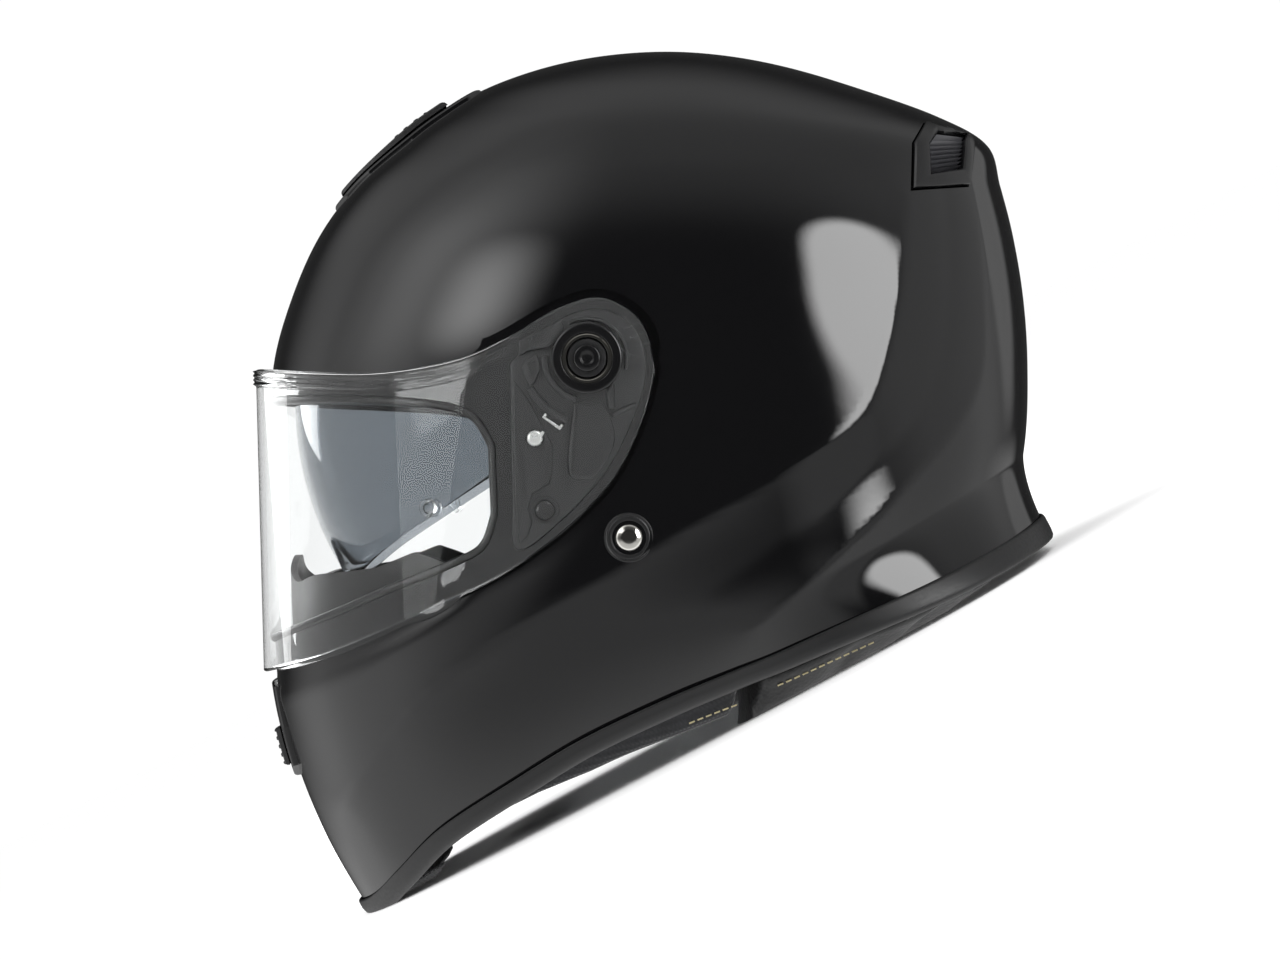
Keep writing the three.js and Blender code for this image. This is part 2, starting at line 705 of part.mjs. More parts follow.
const PLATE = [POCKET_FLOOR + GAP, 121.4];
function pivotBase() {
  const holes = Object.values(BASE_SCREWS).map((place) => disc(2, 100, WIDE, place, 12));
  const plate = sidePrism(curve([...BASE_PLATE, BASE_PLATE[0]], 24).slice(0, -1), ...PLATE);
  const pierced = holes.reduce((sum, hole) => sum.subtract(hole), plate);
  return pierced.add(disc(7.2, 121, 127.4, HUB)).subtract(disc(3.7, 119, WIDE, HUB, 20));
}
const pivotCap = () =>
  disc(3.3, 119.4, 127.9, HUB, 20).add(disc(5, 127.8, 129, HUB, 20));

const baseScrew = (place) =>
  disc(1.6, 115, 122, place, 12).add(disc(3.6, 121.8, 123.1, place, 12))
    .subtract(box(122.6, 125, place.ahead - 2.6, place.ahead + 2.6, place.up - 0.5, place.up + 0.5));
const detentSpring = () => box(121.8, 122.9, 8.6, 16.6, -26.4, -20);
const LEVER_AXIS = { ahead: 0.5, up: -22 };
const releaseLever = () =>
  sidePrism(RELEASE_LEVER, 121.8, 123.9).subtract(disc(2, 100, WIDE, LEVER_AXIS, 16));
const leverPin = () => disc(1.6, 121.8, 124, LEVER_AXIS, 12);

// ---------------------------------------------------------------- vents

const onSkin = (prism, out, under) => prism.intersect(layer(-out, -under));
const CHIN_FRAME = [[-30, -125], [-18, -122.5], [18, -122.5], [30, -125], [25, -156], [12, -161],
  [-12, -161], [-25, -156]];
const chinVentHousing = () =>
  biggest(onSkin(frontPrism(CHIN_FRAME, 70, 150), 2.6, GAP)
    .subtract(frontPrism([[-16, -137], [16, -137], [12.5, -149.5], [-12.5, -149.5]], 60, 160)));
const chinVentShutter = () =>
  biggest(onSkin(frontPrism([[-19, -141], [19, -141], [15, -156], [-15, -156]], 70, 150), 5.4,
    3.7));

const CROWN_FRAME = [[100, 58], [112, 74], [56, 122], [46, 108], [44, 92], [70, 60]];
const crownOutline = (wide, narrow) => frontPrism([[-narrow, 50], [narrow, 50], [wide, 88],
  [wide - 3, 112], [-wide + 3, 112], [-wide, 88]], 20, 140);
const crownVentHousing = () =>
  biggest(onSkin(sidePrism(CROWN_FRAME, -40, 40).intersect(crownOutline(25, 15)), 1.3, GAP)
    .subtract(crownDuct(-1)));
const crownVentSlider = () =>
  biggest(onSkin(sidePrism([[94, 62], [112, 80], [72, 118], [54, 100]], -40, 40)
    .intersect(crownOutline(15, 11)), 4.3, 2.9));

const rearBezel = () =>
  biggest(sidePrism(REAR_VENT, 20, WIDE).intersect(layer(-2.4, 3.4))
    .subtract(sidePrism(grown(REAR_GRILLE, 0.4), 0, WIDE)));
function rearGrille() {
  let grille = sidePrism(REAR_GRILLE, 20, WIDE).intersect(layer(-1, 3));
  for (let up = 73.5; up < 86; up += 2.6)
    grille = grille.subtract(sidePrism([[-130.6, up - 0.6], [-130.6, up + 0.6], [-142.4, up + 3.6],
      [-142.4, up + 2.4]], 0, WIDE).intersect(filled(-3)).subtract(sidePrism([[-120, 93],
      [-131.2, 92], [-131.2, 68], [-120, 68]], 0, WIDE)));
  return biggest(grille);
}

// ---------------------------------------------------------------- strap, buckle and fasteners

const strapRivet = () =>
  turned([[0, 112.4], [5, 112.4], [5, 113.6], [2.6, 113.6], [2.6, 124.4], [5.5, 124.4], [5.2, 125.6],
    [3.6, 126.6], [0, 127]], RIVET.ahead, RIVET.up, 20);
const rivetRing = () => ring(5.9, 9.4, 124.3, 126, RIVET);
const strapAnchor = () =>
  box(114, 116, -29, 0, -90, -60).subtract(disc(3, 100, WIDE, RIVET, 16))
    .subtract(box(110, 120, -26, -3, -85, -79.5))
    .subtract(sidePrism(grown(pocketOuter, 0.6), 100, WIDE));

const sunCable = (radius) => tube(CABLE, radius);
const slideRail = () =>
  mirrored(sidePrism(grown(SLOT, -0.4), 117.2, 120).subtract(sidePrism(
    [[-27.6, -92.3], [-27.6, -97.7], [-54.6, -97.7], [-54.6, -92.3]], 100, WIDE)));
const slideKnob = () =>
  mirrored(box(114.4, 125.4, -39, -29, -97.1, -92.9).add(box(112.4, 116.6, -42, -27, -99, -91)));

// The buckle lies flat under the chin, in the wearer's frame.
const BUCKLE = { ahead: 40, up: -152.5 };
const across = (half) => [BUCKLE.ahead - half, BUCKLE.ahead + half];
const lift = (from, to) => [BUCKLE.up + from, BUCKLE.up + to];
const buckleBody = () =>
  box(-13, 15.5, ...across(13), ...lift(-4, 3.6))
    .subtract(box(-14, 10, ...across(8.6), ...lift(-1.6, 1.6)));
const buckleTongue = () => box(-27, 9, ...across(8), ...lift(-1.2, 1.2));
const buckleLever = () => box(-11, 13, ...across(10), ...lift(-7, -4.4));

// ---------------------------------------------------------------- assembly

add("outer_shell", outerShell(), GLOSS_BLACK);
add("edge_trim", edgeTrim(), RUBBER);
add("eyeport_gasket", portGasket(), RUBBER);
add("eps_liner", epsLiner(), FOAM);
add("eps_chin", epsChin(), FOAM);
add("crown_pad", crownPad(), CLOTH);
addPair("cheek_pad", cheekPad(), CLOTH);
add("neck_roll", neckRoll(), CLOTH);
add("chin_curtain", chinCurtain(), CLOTH);
add("breath_deflector", breathDeflector(), RUBBER);

addPair("pivot_base", pivotBase(), MATT_BLACK);
addPair("pivot_cap", pivotCap(), MATT_BLACK);
Object.entries(BASE_SCREWS).forEach(([name, place]) =>
  addPair(`base_screw_${name}`, baseScrew(place), STEEL));
addPair("detent_spring", detentSpring(), STEEL);
addPair("release_lever", releaseLever(), MATT_BLACK);
addPair("lever_pin", leverPin(), STEEL);
add("visor", visor(), CLEAR);
addPair("visor_hub", visorHub(), STEEL);
addPair("antifog_pin", antifogPin(), CLEAR);
add("sun_visor", sunVisor(), SMOKE);
addPair("sun_carrier", sunCarrier(), MATT_BLACK);
add("sun_slide_rail", slideRail(), MATT_BLACK);
add("sun_slide_knob", slideKnob(), MATT_BLACK);
add("sun_cable", sunCable(1.2), MATT_BLACK);

add("chin_vent_housing", chinVentHousing(), GLOSS_BLACK);
add("chin_vent_shutter", chinVentShutter(), MATT_BLACK);
add("crown_vent_housing", crownVentHousing(), GLOSS_BLACK);
add("crown_vent_slider", crownVentSlider(), MATT_BLACK);
addPair("rear_vent_bezel", rearBezel(), GLOSS_BLACK);
addPair("rear_vent_grille", rearGrille(), MATT_BLACK);

addPair("strap_rivet", strapRivet(), STEEL);
addPair("rivet_ring", rivetRing(), RUBBER);
addPair("strap_anchor", strapAnchor(), STEEL);
add("strap_left", ribbon(strapPath(1), 22, 1.8), CLOTH);
add("strap_right", ribbon([...strapPath(-1).slice(0, -1), [-28, 39.5, -152.5]], 22, 1.8), CLOTH);
add("buckle_body", buckleBody(), MATT_BLACK);
add("buckle_tongue", buckleTongue(), STEEL);
add("buckle_lever", buckleLever(), MATT_BLACK);

helmet.rotation.x = -STAND_TILT;
helmet.position.set(0, FOOTPRINT_SHIFT, CHIN_TO_AXIS.height);
const root = new THREE.Group();
root.add(helmet);
export default root;
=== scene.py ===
# %% [markdown]
# # A full-face motorcycle helmet
# The CAD frame already holds every piece at its size and in its place. This lesson gives each
# visible piece its finished shape and surface: deep gloss paint, clear and smoked glazing,
# satin mouldings, rubber, sewn padding and webbing. All lengths in the helpers are millimetres.

# %% Load the frame
import math

import bpy
import numpy as np
from mathutils import Matrix, Vector


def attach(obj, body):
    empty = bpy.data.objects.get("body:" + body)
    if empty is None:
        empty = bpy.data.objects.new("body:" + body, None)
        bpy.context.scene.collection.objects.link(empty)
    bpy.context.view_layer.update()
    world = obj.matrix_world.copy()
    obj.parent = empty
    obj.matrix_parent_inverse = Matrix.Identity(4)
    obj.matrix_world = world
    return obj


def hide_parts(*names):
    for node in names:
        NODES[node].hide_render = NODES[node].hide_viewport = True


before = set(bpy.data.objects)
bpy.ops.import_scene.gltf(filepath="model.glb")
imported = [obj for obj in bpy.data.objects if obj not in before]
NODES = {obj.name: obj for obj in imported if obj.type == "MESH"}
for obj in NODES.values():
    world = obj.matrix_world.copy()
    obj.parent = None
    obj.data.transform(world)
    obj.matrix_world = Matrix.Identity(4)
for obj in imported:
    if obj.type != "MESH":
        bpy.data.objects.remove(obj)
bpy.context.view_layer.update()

# %% [markdown]
# ## The wearer's frame
# A helmet leans back when it stands on a table. Its makers draw it in the wearer's frame
# instead, so the shapes below are written as x (wearer's left), ahead and up from the visor's
# hinge axis, and one function leans them back.

# %% From the wearer's frame to the standing frame
TILT = math.radians(28.1)
COS, SIN = math.cos(TILT), math.sin(TILT)
AXIS_HEIGHT, FOOT_SHIFT = 148.5, 1.0
CHIN_BACK = 175.0


def stand(x, ahead, up):
    """Millimetres in the wearer's frame to metres in the standing frame."""
    x, ahead, up = np.broadcast_arrays(*(np.asarray(v, float) for v in (x, ahead, up)))
    back = -ahead * COS + up * SIN + FOOT_SHIFT
    height = ahead * SIN + up * COS + AXIS_HEIGHT
    return np.stack([x, back, height], axis=-1) / 1000


# %% [markdown]
# ## The camera
# A long lens from the wearer's left, level with the helmet. The camera is rolled by the same
# angle as the helmet leans, so the helmet looks upright, as worn.

# %% Camera
AIM = Vector(stand(0, -19.6, -45.1))
CAMERA_AWAY = 2.0
LENS_MM = 142.4
right, above, towards = Vector((0, COS, -SIN)), Vector((0, SIN, COS)), Vector((1, 0, 0))
camera = bpy.data.objects.new("camera", bpy.data.cameras.new("camera"))
bpy.context.collection.objects.link(camera)
camera.data.lens = LENS_MM
camera.data.clip_end = 50
turned_to = Matrix((right, above, towards)).transposed().to_4x4()
camera.matrix_world = Matrix.Translation(AIM + towards * CAMERA_AWAY) @ turned_to
bpy.context.scene.camera = camera
print("camera at", tuple(round(v, 3) for v in camera.location))

# %% [markdown]
# ## Modelling helpers
# Helmet pieces are curved skins, so most of them start as a flat grid that is wrapped onto a
# surface: every vertex of the grid knows how far round (u) and how far along (v) it is, and a
# function says where that lands. Flat plates start as a circle whose rim is moved onto an
# outline, and are then extruded and bevelled.


# %% Helpers for meshes
def only(*objects):
    bpy.ops.object.select_all(action="DESELECT")
    for obj in objects:
        obj.select_set(True)
    bpy.context.view_layer.objects.active = objects[0]


def edit(obj, *steps):
    only(obj)
    bpy.ops.object.mode_set(mode="EDIT")
    bpy.ops.mesh.select_all(action="SELECT")
    for step in steps:
        step()
    bpy.ops.object.mode_set(mode="OBJECT")
    return obj


def apply(obj, kind, **settings):
    modifier = obj.modifiers.new(kind, kind)
    for key, value in settings.items():
        setattr(modifier, key, value)
    only(obj)
    bpy.ops.object.modifier_apply(modifier=modifier.name)
    return obj


def merge(distance=2e-6):
    bpy.ops.mesh.remove_doubles(threshold=distance)


def outwards():
    bpy.ops.mesh.normals_make_consistent(inside=False)


def smooth(obj, degrees=35):
    only(obj)
    bpy.ops.object.shade_smooth_by_angle(angle=math.radians(degrees))
    return obj


def wrap(name, columns, rows, place, degrees=35):
    """A grid laid on a surface: place(u, v) gives the point of every vertex, in metres."""
    bpy.ops.object.select_all(action="DESELECT")
    bpy.ops.mesh.primitive_grid_add(x_subdivisions=columns, y_subdivisions=rows, size=2)
    obj = bpy.context.object
    obj.name = obj.data.name = name
    co = np.empty(len(obj.data.vertices) * 3)
    obj.data.vertices.foreach_get("co", co)
    u, v = co.reshape(-1, 3)[:, 0] / 2 + 0.5, co.reshape(-1, 3)[:, 1] / 2 + 0.5
    obj.data.vertices.foreach_set("co", place(u, v).ravel())
    edit(obj, merge, outwards)
    return smooth(obj, degrees)


def prism(name, outline, x0, x1, bevel=0.4, steps=2, degrees=35):
    """A plate with a side outline of ahead and up, from x0 to x1."""
    bpy.ops.object.select_all(action="DESELECT")
    bpy.ops.mesh.primitive_circle_add(vertices=len(outline), fill_type="NGON")
    obj = bpy.context.object
    obj.name = obj.data.name = name
    side = np.array(outline, float)
    obj.data.vertices.foreach_set("co", stand(x0, side[:, 0], side[:, 1]).ravel())
    push = {"value": ((x1 - x0) / 1000, 0, 0)}
    edit(obj, lambda: bpy.ops.mesh.extrude_region_move(TRANSFORM_OT_translate=push))
    edit(obj, outwards)
    if bevel:
        apply(obj, "BEVEL", width=bevel / 1000, segments=steps, limit_method="ANGLE",
              angle_limit=math.radians(30))
    return smooth(obj, degrees)


def cut(obj, *cutters):
    for cutter in cutters:
        apply(obj, "BOOLEAN", operation="DIFFERENCE", object=cutter, solver="EXACT")
        bpy.data.objects.remove(cutter)
    return obj


def copy_mirrored(obj, name):
    """The other side's piece, its faces turned back the right way."""
    twin = bpy.data.objects.new(name, obj.data.copy())
    bpy.context.collection.objects.link(twin)
    twin.data.transform(Matrix.Scale(-1, 4, (1, 0, 0)))
    twin.data.flip_normals()
    return twin


def finish(obj, material, body="helmet", replaces=()):
    """Gives a piece its material and tells the frame which body it rides on."""
    obj.data.materials.clear()
    obj.data.materials.append(material)
    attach(obj, body)
    if replaces:
        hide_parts(*replaces)
    return obj


def finish_pair(left, material, body="helmet", replaces=""):
    """Both sides of a piece whose name ends in _left; replaces names the CAD pair."""
    twin = copy_mirrored(left, left.name.replace("_left", "_right"))
    for obj, side in ((left, "left"), (twin, "right")):
        finish(obj, material, body.format(side), [f"{replaces}_{side}"] if replaces else ())
    return left, twin


def turned(name, profile, ahead, up, facets=48, degrees=35):
    """A turned piece on an axis along x, from its profile of radius and x."""
    profile = np.array(profile, float)

    def place(u, v):
        i = np.rint(v * (len(profile) - 1)).astype(int)
        r, x = profile[i, 0], profile[i, 1]
        return stand(x, ahead + r * np.cos(2 * np.pi * u), up + r * np.sin(2 * np.pi * u))

    return wrap(name, facets, len(profile) - 1, place, degrees)


def rounded(points, radius, steps=3):
    """A profile whose corners are rounded off."""
    points = [np.array(p, float) for p in points]
    out = [points[0]]
    for a, b, c in zip(points, points[1:], points[2:]):
        reach = min(radius, np.linalg.norm(a - b) / 2, np.linalg.norm(c - b) / 2)
        start = b + (a - b) / np.linalg.norm(a - b) * reach
        end = b + (c - b) / np.linalg.norm(c - b) * reach
        for k in range(steps + 1):
            t = k / steps
            out.append(start * (1 - t) ** 2 + 2 * b * t * (1 - t) + end * t ** 2)
    return [tuple(p) for p in out + [points[-1]]]


# %% [markdown]
# ## Materials
# Colours are written as sRGB hex and turned to linear light. One helper adds a node with its
# settings and links. Patterns are sized in millimetres, on Object coordinates in metres.


# %% Helpers for materials
def linear(hexcode, alpha=1.0):
    value = [int(hexcode[i : i + 2], 16) / 255 for i in (1, 3, 5)]
    return [v / 12.92 if v <= 0.04045 else ((v + 0.055) / 1.055) ** 2.4 for v in value] + [alpha]


def add(material, kind, links=(), **settings):
    """Adds a node. Settings are sockets by name or attributes; links are (socket, source)."""
    node = material.node_tree.nodes.new(kind)
    for key, value in settings.items():
        if key in node.inputs:
            node.inputs[key].default_value = value
        else:
            setattr(node, key, value)
    for socket, source in dict(links).items():
        material.node_tree.links.new(source, node.inputs[socket])
    return node


def surface(name, color, roughness, **sockets):
    """A Principled material and its shader node."""
    material = bpy.data.materials.new(name)
    material.use_nodes = True
    shader = material.node_tree.nodes["Principled BSDF"]
    shader.inputs["Base Color"].default_value = linear(color)
    shader.inputs["Roughness"].default_value = roughness
    for key, value in sockets.items():
        shader.inputs[key.replace("_", " ")].default_value = value
    return material, shader


def place_of(material, scale=(1, 1, 1), turn=(0, 0, 0)):
    coords = add(material, "ShaderNodeTexCoord")
    mapping = add(material, "ShaderNodeMapping", {"Vector": coords.outputs["Object"]})
    mapping.inputs["Scale"].default_value = scale
    mapping.inputs["Rotation"].default_value = turn
    return mapping.outputs["Vector"]


def bump(material, shader, height, strength, distance):
    made = add(material, "ShaderNodeBump", {"Height": height}, Strength=strength, Distance=distance)
    material.node_tree.links.new(made.outputs["Normal"], shader.inputs["Normal"])


def vary(material, shader, socket, vector, scale, low, high, detail=3.0):
    """Lets a socket drift between two values, as noise of a given scale does."""
    noise = add(material, "ShaderNodeTexNoise", {"Vector": vector}, Scale=scale, Detail=detail)
    ramp = add(material, "ShaderNodeValToRGB", {"Fac": noise.outputs["Fac"]})
    ramp.color_ramp.elements[0].position, ramp.color_ramp.elements[1].position = 0.3, 0.7
    for element, value in zip(ramp.color_ramp.elements, (low, high)):
        element.color = linear(value) if isinstance(value, str) else (value, value, value, 1)
    material.node_tree.links.new(ramp.outputs["Color"], shader.inputs[socket])
    return noise.outputs["Fac"]


# %% Gloss paint
# Injection-moulded ABS, sprayed black and lacquered: near-mirror gloss with a faint orange peel.
lacquer, shader = surface("black_lacquer_on_abs", "#0a0a0b", 0.06, IOR=1.5, Specular_IOR_Level=0.3,
                          Coat_Weight=0.5, Coat_Roughness=0.02)
here = place_of(lacquer)
peel = add(lacquer, "ShaderNodeTexNoise", {"Vector": here}, Scale=420.0, Detail=1.0)
bump(lacquer, shader, peel.outputs["Fac"], 0.012, 0.0004)
vary(lacquer, shader, "Roughness", here, 30.0, 0.04, 0.075)

# %% Moulded plastics and rubber
# Spark-eroded moulds leave a fine grain of about half a millimetre on the black fittings. The vent louvres
# are the same black nylon but painted a lighter grey, a painted lightening that stands in for the light
# catching their slats, and the bezels and screw heads are nearly smooth.
moulded, shader = surface("grained_black_nylon", "#161617", 0.42)
here = place_of(moulded)
grain = vary(moulded, shader, "Roughness", here, 900.0, 0.34, 0.5)
bump(moulded, shader, grain, 0.15, 0.0002)

# Black nylon painted a lighter grey: painted light, standing in for the light that catches the louvres.
louvre_nylon_painted_lighter, shader = surface("black_nylon_painted_lighter_grey", "#3e3e41", 0.4)
here = place_of(louvre_nylon_painted_lighter)
vary(louvre_nylon_painted_lighter, shader, "Roughness", here, 900.0, 0.34, 0.46)

satin, shader = surface("satin_black_polycarbonate", "#0d0d0e", 0.22)
here = place_of(satin)
vary(satin, shader, "Roughness", here, 60.0, 0.18, 0.28)

# Extruded rubber is smooth and slightly shiny where it left the die.
rubber, shader = surface("extruded_black_epdm", "#101011", 0.42)
here = place_of(rubber)
grain = vary(rubber, shader, "Roughness", here, 900.0, 0.36, 0.48)
bump(rubber, shader, grain, 0.04, 0.0002)

# %% Glazing
# Polycarbonate, injection moulded and hard coated. The clear one passes nearly all light; the
# sun visor is tinted through. Its index is 1.58, but the coat keeps the mirroring so weak that
# a lower index gives the eye the same.
clear, shader = surface("clear_polycarbonate", "#fbfcfc", 0.0, IOR=1.2, Transmission_Weight=1.0)
smoke, shader = surface("smoked_polycarbonate", "#a6abb0", 0.02, IOR=1.25, Transmission_Weight=1.0)
print("glazing", clear.name, smoke.name)

# %% Metals
# The rivet heads and hub rings are polished bright; the screws and springs are zinc plated.
polished, shader = surface("polished_stainless_steel", "#d6d4ce", 0.08, Metallic=1.0)
zinc, shader = surface("zinc_plated_steel", "#b9bab8", 0.28, Metallic=1.0)
here = place_of(zinc)
vary(zinc, shader, "Roughness", here, 500.0, 0.2, 0.36)

# %% Foam and cloth
# Moulded polystyrene beads, about 3 mm across, painted black.
beads, shader = surface("black_expanded_polystyrene", "#1d1d1f", 0.8)
here = place_of(beads)
cells = add(beads, "ShaderNodeTexVoronoi", {"Vector": here}, Scale=330.0)
bump(beads, shader, cells.outputs["Distance"], 0.5, 0.0006)
vary(beads, shader, "Base Color", here, 120.0, "#18181a", "#242427")

# Warp-knitted polyester: rows of loops about a millimetre apart, drawn slightly coarse to show.
knit, shader = surface("knitted_polyester", "#1c1d20", 0.85, Sheen_Weight=0.4, Sheen_Roughness=0.5)
here = place_of(knit)
rows = add(knit, "ShaderNodeTexWave", {"Vector": here}, Scale=240.0, Distortion=1.5, Detail=1.0)
across = add(knit, "ShaderNodeTexWave", {"Vector": here}, Scale=190.0, Distortion=1.5,
             bands_direction="Y")
loops = add(knit, "ShaderNodeMath", {0: rows.outputs["Fac"], 1: across.outputs["Fac"]},
            operation="MULTIPLY")
bump(knit, shader, loops.outputs[0], 0.5, 0.0005)
vary(knit, shader, "Base Color", here, 45.0, "#17181a", "#232428")

# Polyurethane-coated leatherette: pebbled grain of a millimetre or two.
leatherette, shader = surface("pebbled_leatherette", "#141415", 0.45, Sheen_Weight=0.1)
here = place_of(leatherette)
pebbles = add(leatherette, "ShaderNodeTexVoronoi", {"Vector": here}, Scale=700.0)
bump(leatherette, shader, pebbles.outputs["Distance"], 0.35, 0.0004)
vary(leatherette, shader, "Roughness", here, 80.0, 0.38, 0.55)

# Woven polyester webbing: ribs 1.5 mm apart across the strap.
webbing, shader = surface("woven_polyester_webbing", "#121214", 0.7, Sheen_Weight=0.3)
here = place_of(webbing)
ribs = add(webbing, "ShaderNodeTexWave", {"Vector": here}, Scale=210.0, Distortion=0.6,
           bands_direction="DIAGONAL")
bump(webbing, shader, ribs.outputs["Fac"], 0.6, 0.0005)

# Bonded polyester sewing thread, matt.
thread, shader = surface("cream_bonded_thread", "#cfc39a", 0.6)
print("materials", len(bpy.data.materials))

# %% [markdown]
# ## The shell's surface
# The shell is described as a stack of level sections in the wearer's frame, from the crown down.
# Each section is two half super-ellipses that share a width. A smooth curve through the stack
# fills in between, and the same numbers are in the CAD frame, so the skin lies on the frame.

# %% Sections
# up, front, rear, half width, where it is widest, roundness of the front, roundness of the rear
SECTIONS = np.array([
    [123.5, -30, -30, 0, -30, 2, 2],
    [121.6, -4, -55, 26, -30, 2, 2],
    [116.6, 20, -80, 48, -31, 2, 2.05],
    [108, 43, -108, 68, -31, 2.05, 2.1],
    [97, 61, -138, 84, -31, 2.05, 2.2],
    [86, 75, -156.5, 95, -30, 2.1, 2.3],
    [70, 92.5, -161.5, 106, -28, 2.15, 2.3],
    [50, 107, -166.5, 115.5, -25, 2.2, 2.3],
    [26, 117.5, -170.4, 121.5, -20, 2.25, 2.3],
    [0, 124.5, -172, 125, -14, 2.3, 2.35],
    [-30, 125.8, -171, 125.6, -10, 2.35, 2.4],
    [-62, 125.5, -165, 124.5, -8, 2.35, 2.5],
    [-95, 124.5, -158, 121.5, -6, 2.35, 2.6],
    [-125, 122.5, -150, 115, -6, 2.35, 2.6],
    [-155, 115.5, -142, 107.5, -6, 2.3, 2.6],
    [-185, 103.5, -134, 99, -8, 2.3, 2.6],
    [-215, 86.5, -126, 89, -10, 2.3, 2.6],
])
# The lower edge when it stands: distance behind the chin, height.
BASE_LINE = np.array([[-14, 3.6], [4, 4.6], [20, 9.6], [43, 17], [76, 20.5], [107, 22.5],
                      [142, 21], [169, 18.5], [190, 16.8], [234, 16], [256, 16], [282, 16.6],
                      [312, 18]])
over_crown = SECTIONS[1] * [1, 0, 0, -1, 1, 1, 1] + [0, SECTIONS[1, 2], SECTIONS[1, 1], 0, 0, 0, 0]
PADDED = np.vstack([over_crown, SECTIONS, SECTIONS[-1]])


# %% Helpers for tables
def between(table, q):
    """Smooth interpolation between the rows of a table that has a spare row at each end."""
    q = np.clip(q, 0, len(table) - 3 - 1e-9)
    i = q.astype(int)
    t = (q - i)[..., None]
    a, b, c, d = (table[i + k] for k in range(4))
    return b + 0.5 * t * (c - a + t * (2 * a - 5 * b + 4 * c - d + t * (3 * (b - c) + d - a)))


def ends(table):
    table = np.array(table, float)
    return np.vstack([table[0], table, table[-1]])


def curve_at(table, value):
    """Column 1 of a table as a function of column 0."""
    table = ends(table)
    rising = table[-1, 0] > table[0, 0]
    low, high = np.zeros_like(value), np.full_like(value, len(table) - 3.0)
    for _ in range(30):
        middle = (low + high) / 2
        before = (between(table, middle)[..., 0] < value) == rising
        low, high = np.where(before, middle, low), np.where(before, high, middle)
    return between(table, low)[..., 1]


def ease(t):
    t = np.clip(t, 0, 1)
    return t * t * (3 - 2 * t)


# %% The skin
def section(q, turn):
    """A point of section row q, turned from the front; q may lie between two rows."""
    up, front, rear, half, widest, n_front, n_rear = np.moveaxis(between(PADDED, q), -1, 0)
    c, s = np.cos(turn), np.sin(turn)
    power = 2 / np.where(c > 0, n_front, n_rear)
    reach = np.where(c > 0, front - widest, widest - rear)
    x = np.maximum(0, half) * np.sign(s) * np.abs(s) ** power
    return np.stack([x, widest + reach * np.sign(c) * np.abs(c) ** power, up], axis=-1)


def over_base(p):
    """How far a point lies above the lower edge, in the standing frame."""
    standing = stand(p[..., 0], p[..., 1], p[..., 2]) * 1000
    behind_chin = standing[..., 1] - FOOT_SHIFT + CHIN_BACK
    return standing[..., 2] - np.interp(behind_chin, FINE_BASE[0], FINE_BASE[1])


steps = np.linspace(0, len(BASE_LINE) - 1, 400)
FINE_BASE = between(ends(BASE_LINE), steps).T


def base_row(turn, over):
    """The row of the sections that lies a height over the lower edge."""
    low, high = np.full_like(turn, 4.0), np.full_like(turn, len(SECTIONS) - 1.0)
    for _ in range(26):
        middle = (low + high) / 2
        above_it = over_base(section(middle, turn)) > over
        low, high = np.where(above_it, middle, low), np.where(above_it, high, middle)
    return low


CROWN_ROW = 0.06  # above this row the skin counts as level
TUCK, LIP = 5, 12.5  # how far the lower edge goes in at the jaw and flares out behind the neck


def skin(q, turn, inset):
    """A point of the surface, moved in along its normal; also the normal."""
    p = section(q, turn)
    q0 = np.maximum(CROWN_ROW, q)
    step = 0.02
    down = section(q0 + step, turn) - section(q0 - step, turn)
    around = section(q0, turn + step) - section(q0, turn - step)
    down, around = down * [1, -1, 1], around * [1, -1, 1]
    normal = np.cross(down, around)
    normal /= np.linalg.norm(normal, axis=-1, keepdims=True)
    normal = np.where((q < CROWN_ROW)[..., None], [0.0, 0.0, 1.0], normal) * [1, -1, 1]
    over = over_base(p)
    rear = ease((-p[..., 1] - 55) / 95)
    tuck = TUCK * np.clip(1 - over / 32, 0, 1) ** 2 * (1 - rear) * ease((125 - p[..., 1]) / 65)
    lip = LIP * np.clip(1 - over / 20, 0, 1.2) ** 1.5 * rear
    flat = np.stack([p[..., 0] * 0.8, p[..., 1]], axis=-1)
    flat /= np.maximum(1e-6, np.linalg.norm(flat, axis=-1, keepdims=True))
    lip = lip * (1 - ease((inset - 6.5) / 5.5))
    tuck = tuck * (1 - ease((inset - 6.5) / 13.5))
    shift_x = flat[..., 0] * lip - np.sign(p[..., 0]) * tuck
    shift = np.stack([shift_x, flat[..., 1] * lip, np.zeros_like(lip)], axis=-1)
    return p - normal * np.asarray(inset)[..., None] + shift, normal


def placed(p):
    return stand(p[..., 0], p[..., 1], p[..., 2])


def skirt_point(turn, inset, over):
    """A point by its inset and its height over the lower edge."""
    turn, inset, over = np.broadcast_arrays(turn, inset, over)
    p, _ = skin(base_row(turn.astype(float), over.astype(float)), turn, inset)
    return placed(p)


ON_TABLE = 0.00002  # metres: what rests on the table stays just above it


def on_table(p):
    """Lifts what would sink into the table."""
    p[:, 2] = np.maximum(p[:, 2], ON_TABLE)
    return p


print("base row at the chin", base_row(np.array([0.0]), np.array([0.0])))

# %% [markdown]
# ## Side outlines
# The visor, the eye port and the pocket round the visor's ends are all cut square through the
# side, so each is an outline of ahead and up.

# %% Outlines
VISOR_TOP = [[131.5, -2.5], [105, -4.8], [78, -5.4], [51, -1.5], [32, 6], [10, 18.2], [-6, 21.6],
             [-20, 13], [-25.2, -4]]
VISOR_BOTTOM = [[131.5, -119.5], [102, -110], [78, -100.3], [55, -90.4], [32, -79.4], [9.5, -63.8],
                [-9.2, -45], [-20.3, -22.8], [-25.2, -4]]
PORT_TOP = [[140, -12.5], [86, -13.5], [58, -15.5], [42, -20], [34, -32]]
PORT_BOTTOM = [[33, -58], [38, -71], [52, -78.5], [74, -87.5], [97, -97.5], [140, -115]]
POCKET_FLOOR, POCKET_WALL = 118.0, 3.2


